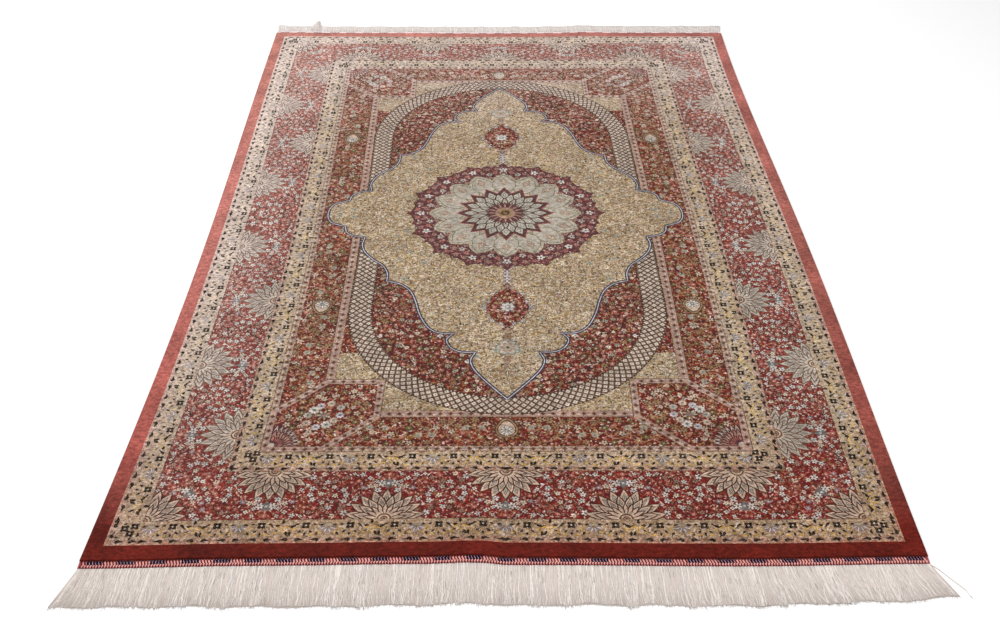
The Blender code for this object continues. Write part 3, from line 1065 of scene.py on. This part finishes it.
def make_back(material):
    """Foundation: a closed slab with the rug's outline, from the floor to the foot of the pile."""
    across = np.linspace(-WIDTH / 2, WIDTH / 2, END_STEPS + 1)[:-1]
    along = np.linspace(-LENGTH / 2, LENGTH / 2, SIDE_STEPS + 1)[:-1]
    x = np.concatenate([across, np.full(SIDE_STEPS, WIDTH / 2), -across, np.full(SIDE_STEPS, -WIDTH / 2)])
    y = np.concatenate([np.full(END_STEPS, -LENGTH / 2), along, np.full(END_STEPS, LENGTH / 2), -along])
    x, y = lie(x, y)
    count = len(x)
    here = np.arange(count)
    there = (here + 1) % count
    walls = joined(here, there, there + count, here + count)
    return add_piece("carpet_back", np.concatenate([level(x, y, 0.0), level(x, y, BACK_THICK)]),
                     np.concatenate([here[::-1], walls.ravel(), here + count]),
                     np.concatenate([[count], np.full(count, 4), [count]]), material, "carpet")


# ---- bands and fringes ---------------------------------------------------------------------------

def tubes(lines, wide, tall, sides):
    """Points, quads and caps of many tubes at once, from lines as (tube, step, 3) and their half
    widths and half heights as (tube, step). Each ring stands square to its line's run in plan."""
    step = np.gradient(lines[..., :2], axis=1)
    across = level(step[..., 1], -step[..., 0], 0.0)
    across /= np.maximum(np.linalg.norm(across, axis=-1, keepdims=True), 1e-9)
    angle = TAU * (np.arange(sides) + 0.5) / sides - TAU / 4
    reach = across[:, :, None] * (wide[..., None] * np.cos(angle))[..., None]
    reach[..., 2] = tall[..., None] * np.sin(angle)
    count, steps = lines.shape[:2]
    index = np.arange(count * steps * sides).reshape(count, steps, sides)
    beside = np.roll(index, -1, axis=2)
    quads = joined(index[:, :-1], beside[:, :-1], beside[:, 1:], index[:, 1:])
    caps = np.stack([index[:, 0, ::-1], index[:, -1]], axis=1)
    return (lines[:, :, None] + reach).reshape(-1, 3), quads.reshape(-1, 4), caps.reshape(-1, sides)


def closed_strip(lines):
    """Closed strip from four lines of equal length that run along it: quads between neighbouring
    lines, and a quad at each end."""
    lines = np.array(lines)
    count = lines.shape[1]
    index = np.arange(4 * count).reshape(4, count)
    above = np.roll(index, -1, axis=0)
    quads = joined(index[:, :-1], index[:, 1:], above[:, 1:], above[:, :-1]).reshape(-1, 4)
    caps = np.stack([index[:, 0], index[::-1, -1]])
    return lines.reshape(-1, 3), np.concatenate([quads, caps])


YARNS = ("#080b2e", "#e0a299", "#640e1b", "#9c4f52")    # navy, pale pink, dark red, dull pink
BAND_SHEEN_COLOR = "#fbeeec"
BAND_SHEEN_SHARES = (0.0, 1.0, 0.70, 0.98)     # how far each yarn is paled by full painted sheen
BLOCK_PITCH = 0.0505    # of the navy blocks along a band
BLOCK_LONG = 0.0272
BLOCK_START = -0.012    # x where one of the blocks begins
STITCH_FOOT, STITCH_ARCH = 0.0010, 0.0009       # height of a stitch's line, and its middle's rise
STITCH_TALL = 0.0008    # half height of a stitch


def make_band(name, side, sheen_paint, node, material):
    """Twined band: rows of slanted stitches over a flat tape. A dark stroke and a pale one take turns
    along each row. In the widest row, blocks of broad navy strokes alternate with thin red ones.
    Its third argument is the share of painted sheen, which pales the yarns."""
    rows = (
        # distance out to the row's middle, half reach across, slant, step, share of the dark stroke
        # in and between the blocks, its yarn in and between them, rings
        (0.0009, 0.0008, 0.0002, 0.0048, 0.88, 0.88, 0, 2, 2),
        (0.0050, 0.0032, 0.0014, 0.0050, 0.84, 0.50, 0, 2, 3),
        (0.0101, 0.0018, -0.0012, 0.0046, 0.44, 0.44, 2, 2, 3),
        (0.0132, 0.0007, 0.0003, 0.0046, 0.80, 0.80, 2, 2, 2),
    )
    columns = np.linspace(-WIDTH / 2, WIDTH / 2, END_STEPS + 1) * side
    edge = BAND_WIDE - 0.0006
    section = ((0.0, 0.0), (0.0, 0.0012), (edge, 0.0010), (edge, 0.0))     # distance out, height
    tape, quads = closed_strip([level(*end_line(side, GAP + out, columns), height)
                                for out, height in section])
    yarns = np.array([linear(code) for code in YARNS])
    # Painted sheen: each yarn paled towards a whitish pink
    yarns += (linear(BAND_SHEEN_COLOR) - yarns) * np.array(BAND_SHEEN_SHARES)[:, None] * sheen_paint
    points, faces, sizes = [tape], [quads.ravel()], [np.full(len(quads), 4)]
    colors = [np.tile(yarns[3], (4 * len(quads), 1))]
    first = len(tape)
    random = np.random.default_rng(8 + side)
    for out, reach, slant, step, wide_in, wide_out, yarn_in, yarn_out, rings in rows:
        centers = np.arange(-WIDTH / 2 + step, WIDTH / 2 - step, step / 2)
        dark = np.arange(len(centers)) % 2 == 0
        between = np.mod(centers - BLOCK_START, BLOCK_PITCH) > BLOCK_LONG
        share = np.linspace(-1, 1, rings)
        x = centers[:, None] + slant * share + random.uniform(-0.0002, 0.0002, (len(centers), 1))
        flat_x, flat_y = end_line(side, GAP, x.ravel())
        even = np.ones_like(x)
        lines = joined(flat_x.reshape(x.shape), flat_y.reshape(x.shape) + side * (out + reach * share),
                       STITCH_FOOT + STITCH_ARCH * (1.0 - 0.65 * share**2) * even)
        wide = np.where(between, wide_out, wide_in)
        half = step * 0.70 * np.where(dark, wide, 1 - wide)
        stitches, quads, caps = tubes(lines, half[:, None] * even, STITCH_TALL * even, 4)
        pick = np.where(dark, np.where(between, yarn_out, yarn_in), 1)
        shade = yarns[pick] * random.uniform(0.85, 1.15, (len(centers), 1))
        points.append(stitches)
        for part in (quads, caps):
            faces.append(part.ravel() + first)
            sizes.append(np.full(len(part), 4))
            colors.append(np.repeat(shade, len(part) // len(centers) * 4, axis=0))
        first += len(stitches)
    piece = add_piece(name, np.concatenate(points), np.concatenate(faces), np.concatenate(sizes),
                      material, node)
    color_corners(piece, "dye", np.concatenate(colors))
    return piece


# Tangled places of a fringe: (place, reach to either side, sideways pull)
NEAR_TANGLES = ((-0.655, 0.02, -0.012), (-0.40, 0.03, 0.008), (0.05, 0.04, -0.007), (0.47, 0.05, 0.026),
                (0.535, 0.02, 0.020), (0.60, 0.03, -0.014))
FAR_TANGLES = ((-0.60, 0.03, 0.010), (0.0, 0.05, -0.006), (0.55, 0.03, 0.008))

THREAD_WIDE, THREAD_TALL = 0.00062, 0.00040     # half width and half height of a thread
TUFT = 0.0062           # threads lean together in tufts this wide
STRAYS = 0.08           # share of the threads that stray sideways
CLUMPS = 90             # places along a cut that are longer or shorter together
GROUPS = 260            # places along a fringe that are lighter or darker together
SHADED = 0.045          # share of the threads' steps that lie in shade
WARP = {-1: "#f1e8e2", 1: "#f1ebe8"}            # at the near and the far end
# The mat is darker than the warp yarn: painted shade of the lower threads
MAT, CUT_BROWN = "#cfc2ba", "#5e4a3c"
CUT_WAVE, CUT_RATE = 0.0016, 61                 # slow wave in the cut: its height and its rate along x
RINGS = (0.0, 0.15, 0.30, 0.45, 0.60, 0.78, 0.950, 0.973, 1.0)      # places of a thread's rings along it
RING_STAIN_AND_SHADE = (0, 0, 0, 0, 0, 0, 0, 1.0, 0.12)      # how dark each ring is along the cut: brown staining and painted shade
# How dark the line along the cut is, brown staining and painted shade: (x, share)
TIP_STAIN_AND_SHADE = ((-0.68, 0.75), (0.30, 0.7), (0.38, 1.0), (0.50, 1.0), (0.56, 0.75), (0.68, 0.85))


def make_fringe(name, side, lengths, fan, tangles, threads, node, material, seed):
    """Fringe of loose warp ends over a thin mat of lower ones. Each thread runs out from the band,
    leans with its tuft, the fan and the tangles, and waves with its neighbours. A thin brown line,
    brown staining and painted shade, runs along the cut, and frayed pale ends reach past it."""
    random = np.random.default_rng(seed)
    out = GAP + BAND_WIDE + GAP
    reach_x = WIDTH / 2 - 0.001
    root = np.sort(random.uniform(-reach_x, reach_x, threads))
    share = np.array(RINGS)
    tuft = np.round(root / TUFT) * TUFT
    cut = eased(lengths, root) + CUT_WAVE * np.sin(root * CUT_RATE + seed) + 0.0012 * np.sin(root * 137)
    clump = np.linspace(-WIDTH / 2, WIDTH / 2, CLUMPS)
    cut += np.interp(root, clump, random.normal(0, 0.0014, len(clump)))
    cut += random.normal(0, 0.0005, threads)
    stray = random.uniform(0, 1, threads) < STRAYS
    fray = (random.normal(-0.0004, 0.0013, threads)
            + np.where(stray, random.uniform(0.0, 0.005, threads), 0.0))
    lean = eased(fan, root) + (tuft - root) * random.uniform(0.1, 0.7, threads)
    lean += random.normal(0, 1, threads) * np.where(stray, 0.008, 0.0012)
    for place, reach, pull in tangles:
        lean += pull * np.exp(-((root - place) / reach) ** 2) * random.uniform(-0.4, 1.0, threads)
    bow = np.full(threads, 1.4)
    thick = np.ones(threads)
    if side < 0:    # one thread at the near right corner strays wide, and it is thicker than the others
        lean[-1] += 0.024
        bow[-1] = 0.8
        thick[-1] = 1.9
    layer = random.uniform(0, 1, threads)[:, None]
    phase = root[:, None] * 31 + random.uniform(0, 0.4, threads)[:, None]
    crimp = random.uniform(0.0, 0.0018, threads)[:, None]
    wave = (0.0021 * np.sin(TAU * (1.5 * share + phase))
            + crimp * np.sin(TAU * (2.9 * share + phase * 7 + layer))) * share
    start_x, start_y = end_line(side, out, root)
    along = cut[:, None] * share
    along[:, -1] += np.maximum(fray, -0.0016)
    lines = joined(start_x[:, None] + lean[:, None] * share ** bow[:, None] + wave,
                   start_y[:, None] + side * along,
                   0.0010 + 0.0005 * layer * (1 - 0.6 * share**2) - 0.0004 * share**4)
    taper = np.interp(share, (0, 0.8, 1), (1.0, 0.9, 0.45)) * thick[:, None]
    points, quads, caps = tubes(lines, THREAD_WIDE * taper, THREAD_TALL * taper, 3)

    columns = np.arange(-reach_x, WIDTH / 2, 0.0024)[::side]
    end = (eased(lengths, columns) * 0.965 + random.normal(0, 0.0004, len(columns))
           + CUT_WAVE * np.sin(columns * CUT_RATE + seed))
    x, y = end_line(side, out, columns)
    section = ((0.0, 0.0), (0.0, 0.0010), (1.0, 0.0006), (1.0, 0.0))    # share of the reach, height
    mat, mat_quads = closed_strip([level(x + at * eased(fan, columns), y + side * at * end, height)
                                   for at, height in section])
    faces = np.concatenate([mat_quads.ravel(), quads.ravel() + len(mat), caps.ravel() + len(mat)])
    sizes = np.concatenate([np.full(len(mat_quads) + len(quads), 4), np.full(len(caps), 3)])
    piece = add_piece(name, np.concatenate([mat, points]), faces, sizes, material, node,
                      smooth=True)

    groups = np.interp(root, np.linspace(-0.7, 0.7, GROUPS), random.uniform(0.95, 1.03, GROUPS))
    # Lower threads are darker: painted shade between the layers; the groups differ at random
    tone = groups[:, None] * (0.90 + 0.10 * layer) * np.ones(along.shape)
    tone[random.uniform(0, 1, along.shape) < SHADED] *= 0.66
    # Dark line along the cut: brown staining and painted shade
    stain_and_shade = np.array(RING_STAIN_AND_SHADE) * eased(TIP_STAIN_AND_SHADE, root)[:, None]
    stain_and_shade *= random.uniform(0.5, 1.0, threads)[:, None]
    pale, brown = linear(WARP[side]), linear(CUT_BROWN)
    ring = tone[..., None] * (pale + (brown - pale) * stain_and_shade[..., None])
    color_corners(piece, "dye", np.concatenate([
        np.tile(linear(MAT), (4 * len(mat_quads), 1)),
        np.repeat(ring[:, 1:], 3 * 4, axis=1).reshape(-1, 3),
        np.repeat(ring[:, [0, -1]], 3, axis=1).reshape(-1, 3)]))
    return piece


# ---- materials -----------------------------------------------------------------------------------

def set_inputs(node, inputs):
    """Inputs of a node, by name or in order: another node's first output or any output is linked,
    and the rest are values."""
    for socket, value in inputs.items() if isinstance(inputs, dict) else enumerate(inputs):
        if isinstance(value, bpy.types.Node):
            value = next(output for output in value.outputs if output.enabled)
        if isinstance(value, bpy.types.NodeSocket):
            node.id_data.links.new(value, node.inputs[socket])
        else:
            node.inputs[socket].default_value = value


def add_node(tree, kind, inputs=(), stops=(), **settings):
    """Shader node of that kind, its properties set before its inputs. Stops are a color ramp's, as
    (place, color)."""
    node = tree.nodes.new("ShaderNode" + kind)
    for name, value in settings.items():
        setattr(node, name, value)
    set_inputs(node, inputs)
    for number, (place, color) in enumerate(stops):
        elements = node.color_ramp.elements
        if number == 0:
            elements.remove(elements[1])
        stop = elements.new(place) if number else elements[0]
        stop.position = place
        stop.color = color
    return node


def new_material(name, **settings):
    """Material, a short call that adds nodes to it, and its Principled shader, whose own sockets
    hold the settings."""
    material = bpy.data.materials.new(name)
    material.use_nodes = True
    shader = material.node_tree.nodes["Principled BSDF"]
    set_inputs(shader, {socket.replace("_", " "): value for socket, value in settings.items()})
    return material, partial(add_node, material.node_tree), shader


# Fine leaves on each ground: (dye, weight)
PALE_LEAVES = (("straw", 2.8), ("umber", 2.0), ("cream", 4.0), ("gold", 2.6), ("bark", 1.0), ("rose", 1.4),
               ("pearl", 1.4), ("olive", 2.0), ("tan", 1.0))
RED_LEAVES = (("rust", 2.0), ("pink", 1.9), ("bark", 2.2), ("tan", 1.3), ("cream", 0.7), ("wine", 1.6),
              ("gold", 0.6), ("rose", 0.5), ("pearl", 0.4))

# Plain strips along the left and right sides, dark at the near end and paler away from it by painted sheen:
# (y as a share of the rug, color)
PLAIN_LEFT_SHEEN = ((0.0, "#5b1a12"), (0.03, "#5b1a12"), (0.09, "#9a4d44"), (0.45, "#b06a61"), (1.0, "#ac6f64"))
PLAIN_RIGHT_SHEEN = ((0.0, "#5b1a12"), (0.03, "#5b1a12"), (0.09, "#813f36"), (0.5, "#995a51"), (1.0, "#a2625a"))
SHEEN_COLOR = "#d8c9c2"   # painted sheen: pale color mixed into the pattern where the pile catches the light
# painted sheen on the red dyes
RED_SHEEN_COLOR = "#c98f80"
STEM = "#3c241b"


def shares(rows):
    """Ramp stops that give each dye its weight's share of the values from 0 to 1."""
    names, weights = zip(*rows)
    starts = np.concatenate([[0], np.cumsum(weights)[:-1]]) / sum(weights)
    return [(float(start), solid(DYES[name])) for start, name in zip(starts, names)]


def silk_pile_material():
    """Knotted silk, clipped low. Its curled leaves are cells bent by a noise, each with a dye drawn
    by lot, between dark stems along the noise's contour lines. Single knots differ in depth, the
    plain strips carry painted sheen and a random brushing tone, painted sheen pales the pattern
    towards the left and far edges, and painted shade darkens it at the near end.
    A MapRange node's inputs are the value, its own range, and the range that it is laid onto."""
    material, add, shader = new_material("knotted silk pile", Roughness=0.7, Specular_IOR_Level=0.05,
                                         Sheen_Weight=0.02, Sheen_Roughness=0.5)
    place = add("TexCoord").outputs["Object"]
    x, y, _ = add("SeparateXYZ", (place,)).outputs
    color = add("Attribute", attribute_name="dye")
    grain = add("SeparateColor", (add("Attribute", attribute_name="grain"),))
    pale_share, red_share, plain_share = grain.outputs

    # Leaves are 3 to 5 mm: finer ones, as woven, would be lost in a picture of the whole rug
    bend = add("TexNoise", {"Vector": place, "Scale": 130.0, "Detail": 1.0}).outputs["Color"]
    bent = add("VectorMath", (bend, (0.012, 0.012, 0.0), place), operation="MULTIPLY_ADD")
    for share, rows, scale in ((pale_share, PALE_LEAVES, 350.0), (red_share, RED_LEAVES, 240.0)):
        leaves = add("TexVoronoi", {"Vector": bent, "Scale": scale}, voronoi_dimensions="2D")
        shape = add("MapRange", (leaves, 0.42, 0.54, 1.0, 0.0))
        lot = add("SeparateColor", (leaves.outputs["Color"],))
        ramp = add("ValToRGB", (lot,), shares(rows))
        ramp.color_ramp.interpolation = "CONSTANT"
        factor = add("Math", (shape, share), operation="MULTIPLY")
        color = add("Mix", {"Factor": factor, "A": color, "B": ramp}, data_type="RGBA")

    # Stems: dark lines about 1.5 mm wide, where a wider noise passes even levels
    swell = add("TexNoise", {"Vector": place, "Scale": 75.0, "Detail": 1.0})
    ripple = add("Math", (swell, 0.09), operation="PINGPONG")
    stem = add("MapRange", (ripple, 0.012, 0.030, 0.5, 0.0))
    leafy = add("Math", (pale_share, 0.6, red_share), operation="MULTIPLY_ADD")
    factor = add("Math", (stem, leafy), operation="MULTIPLY")
    color = add("Mix", {"Factor": factor, "A": color, "B": solid(STEM)}, data_type="RGBA")

    # Plain strips: painted sheen, as a ramp along each side and an even change from left to right, times a
    # brushing tone that differs at random
    along = add("MapRange", (y, -LENGTH / 2, LENGTH / 2))
    across = add("MapRange", (x, -WIDTH / 2, WIDTH / 2))
    left, right = (add("ValToRGB", (along,), [(at, solid(code)) for at, code in rows])
                   for rows in (PLAIN_LEFT_SHEEN, PLAIN_RIGHT_SHEEN))
    plain = add("Mix", {"Factor": across, "A": left, "B": right}, data_type="RGBA")
    brushing = add("TexNoise", {"Vector": place, "Scale": 11.0, "Detail": 3.0})
    tone = add("MapRange", (brushing, 0.3, 0.7, 0.78, 1.26))
    plain_sheen_and_brushing = add("VectorMath", {0: plain, 3: tone}, operation="SCALE")
    color = add("Mix", {"Factor": plain_share, "A": color, "B": plain_sheen_and_brushing}, data_type="RGBA")

    # Painted sheen: a pale color mixed in, more towards the far end, and towards the sides away from the
    # near end. It is light red on the reds, and black and brown dyes hardly take it
    red, green, _ = add("SeparateColor", (color,)).outputs
    pale = add("MapRange", (green, 0.02, 0.22))
    sheen_paint = add("Mix", {"Factor": pale, "A": solid(RED_SHEEN_COLOR), "B": solid(SHEEN_COLOR)}, data_type="RGBA")
    patterned = add("Math", (1.0, plain_share), operation="SUBTRACT")
    bright = add("MapRange", (red, 0.03, 0.26))
    sheen_amount = add("MapRange", (y, 0.30, 1.0, 0.0, 0.46), interpolation_type="SMOOTHSTEP")
    sides = (
        # x where it starts and is full, how much, y where that is none and all of it
        (-0.35, -0.68, 0.66, -1.15, -0.15),
        (0.35, 0.68, 0.36, -0.95, 0.30),
    )
    for start, end, most, near, far in sides:
        side = add("MapRange", (x, start, end, 0.0, most), interpolation_type="SMOOTHSTEP")
        away = add("MapRange", (y, near, far))
        sheen_amount = add("Math", (side, away, sheen_amount), operation="MULTIPLY_ADD")
    sheen_amount = add("Math", (sheen_amount, 0.70), operation="MINIMUM")
    shown = add("Math", (patterned, bright), operation="MULTIPLY")
    factor = add("Math", (sheen_amount, shown), operation="MULTIPLY")
    color = add("Mix", {"Factor": factor, "A": color, "B": sheen_paint}, data_type="RGBA")

    # Painted shade: towards the near end, where the pile is looked into from its end, the pattern is
    # darkened
    painted_shade = add("MapRange", (y, -1.0, -0.60, 1.0, 0.0))
    factor = add("Math", (painted_shade, patterned), operation="MULTIPLY")
    color = add("Mix", {"Factor": factor, "A": color, "B": (0.90, 0.80, 0.78, 1)}, data_type="RGBA",
                blend_type="MULTIPLY")

    # Knots are about 1 mm: 2 mm shows them in a picture of the whole rug. Clipping leaves patches,
    # and tufts about 8 by 5 mm, which show on the plain strips
    knots = add("TexVoronoi", {"Vector": place, "Scale": 480.0})
    lot = add("SeparateColor", (knots.outputs["Color"],))
    patches = add("TexNoise", {"Vector": place, "Scale": 13.0, "Detail": 4.0})
    wide = add("VectorMath", (place, (0.6, 1.0, 1.0)), operation="MULTIPLY")
    tufts = add("TexNoise", {"Vector": wide, "Scale": 170.0, "Detail": 3.0})
    for source, low, high, dark, light in ((lot, 0.0, 1.0, 0.76, 1.24), (patches, 0.3, 0.7, 0.84, 1.14),
                                           (tufts, 0.25, 0.75, 0.58, 1.42)):
        tone = add("MapRange", (source, low, high, dark, light))
        color = add("VectorMath", {0: color, 3: tone}, operation="SCALE")
    bump = add("Bump", {"Height": knots, "Strength": 0.2, "Distance": 0.0006})
    set_inputs(shader, {"Base Color": color, "Normal": bump})
    return material


def yarn_material(name, roughness, fiber_scale, sheen):
    """Twisted yarn: the thread's own color with fine darker fibres and a matt surface."""
    material, add, shader = new_material(name, Roughness=roughness, Specular_IOR_Level=0.08,
                                         Sheen_Weight=sheen, Sheen_Roughness=0.5)
    place = add("TexCoord").outputs["Object"]
    fibers = add("TexNoise", {"Vector": place, "Scale": fiber_scale, "Detail": 2.0})
    tone = add("MapRange", (fibers, 0.3, 0.7, 0.90, 1.08))
    dye = add("Attribute", attribute_name="dye")
    color = add("VectorMath", {0: dye, 3: tone}, operation="SCALE")
    bump = add("Bump", {"Height": fibers, "Strength": 0.3, "Distance": 0.0004})
    set_inputs(shader, {"Base Color": color, "Normal": bump})
    return material


def woven_back_material():
    """Back of the rug: flat knots in rows, in the red of the ground."""
    material, add, shader = new_material("woven silk back", Roughness=0.8, Specular_IOR_Level=0.2)
    knots = add("TexVoronoi", {"Vector": add("TexCoord").outputs["Object"], "Scale": 420.0})
    color = add("Mix", {"Factor": knots, "A": solid("#6e3228"), "B": solid("#8e6a54")}, data_type="RGBA")
    set_inputs(shader, {"Base Color": color})
    return material


# ---- floor, light and camera ---------------------------------------------------------------------

def make_surroundings():
    """Pale floor, even light from all round, two softboxes, and the camera at the photo's angle."""
    reach = 6.0
    mesh = bpy.data.meshes.new("floor")
    mesh.from_pydata([(-reach, -reach, 0), (reach, -reach, 0), (reach, reach, 0), (-reach, reach, 0)], [],
                     [(0, 1, 2, 3)])
    mesh.materials.append(new_material("pale floor", Base_Color=(0.97, 0.97, 0.97, 1), Roughness=0.9)[0])
    floor = linked(bpy.data.objects.new("floor", mesh))

    world = bpy.data.worlds.new("soft studio")
    bpy.context.scene.world = world
    world.use_nodes = True
    set_inputs(world.node_tree.nodes["Background"], {"Color": (1, 1, 1, 1), "Strength": 0.42})
    for name, energy, size, place, aim in (
        ("softbox over the near end", 88, 3.8, (0.3, -1.3, 3.3), (0.0, -0.3, 0.0)),
        ("softbox behind to the left", 112, 2.6, (-1.8, 3.0, 2.4), (-0.3, 0.6, 0.0)),
    ):
        lamp = linked(bpy.data.objects.new(name, bpy.data.lights.new(name, "AREA")))
        lamp.data.energy = energy
        lamp.data.size = size
        lamp.location = place
        lamp.rotation_euler = (Vector(aim) - Vector(place)).to_track_quat("-Z", "Y").to_euler()

    # Camera as fitted to the pile's corners and border lines in the photo
    camera = linked(bpy.data.objects.new("camera", bpy.data.cameras.new("camera")))
    camera.data.lens = 40.39
    camera.data.sensor_width = 36.0
    camera.location = (-0.01335, -2.22432, 1.41153)
    camera.rotation_euler = (TAU / 4 - 0.65235, 0.0, -0.0038505)
    bpy.context.scene.camera = camera
    bpy.context.scene.view_settings.view_transform = "Standard"


# ---- making --------------------------------------------------------------------------------------

def main():
    """The pile's quarters, what lies under and beside them, and the surroundings."""
    pile = silk_pile_material()
    drawing = cut_to_triangles(quarter_design())
    quarters = [make_pile_quarter(name, drawing, way_x, way_y, pile) for name, way_x, way_y in (
        ("pile_near_left", -1, -1),
        ("pile_near_right", 1, -1),
        ("pile_far_left", -1, 1),
        ("pile_far_right", 1, 1),
    )]
    back = make_back(woven_back_material())
    band_yarn = yarn_material("twined silk yarn", 0.7, 900.0, 0.0)
    warp_yarn = yarn_material("undyed warp ends", 0.8, 700.0, 0.08)
    trims = [
        # The far band is paled by painted sheen, the near one not
        make_band("band_near", -1, 0.0, "end_band_near", band_yarn),
        make_band("band_far", 1, 0.95, "end_band_far", band_yarn),
        make_fringe("warp_ends_near", -1, NEAR_LENGTH, NEAR_FAN, NEAR_TANGLES, 1450, "fringe_near",
                    warp_yarn, 3),
        make_fringe("warp_ends_far", 1, FAR_LENGTH, FAR_FAN, FAR_TANGLES, 1050, "fringe_far",
                    warp_yarn, 5),
    ]
    make_surroundings()


main()
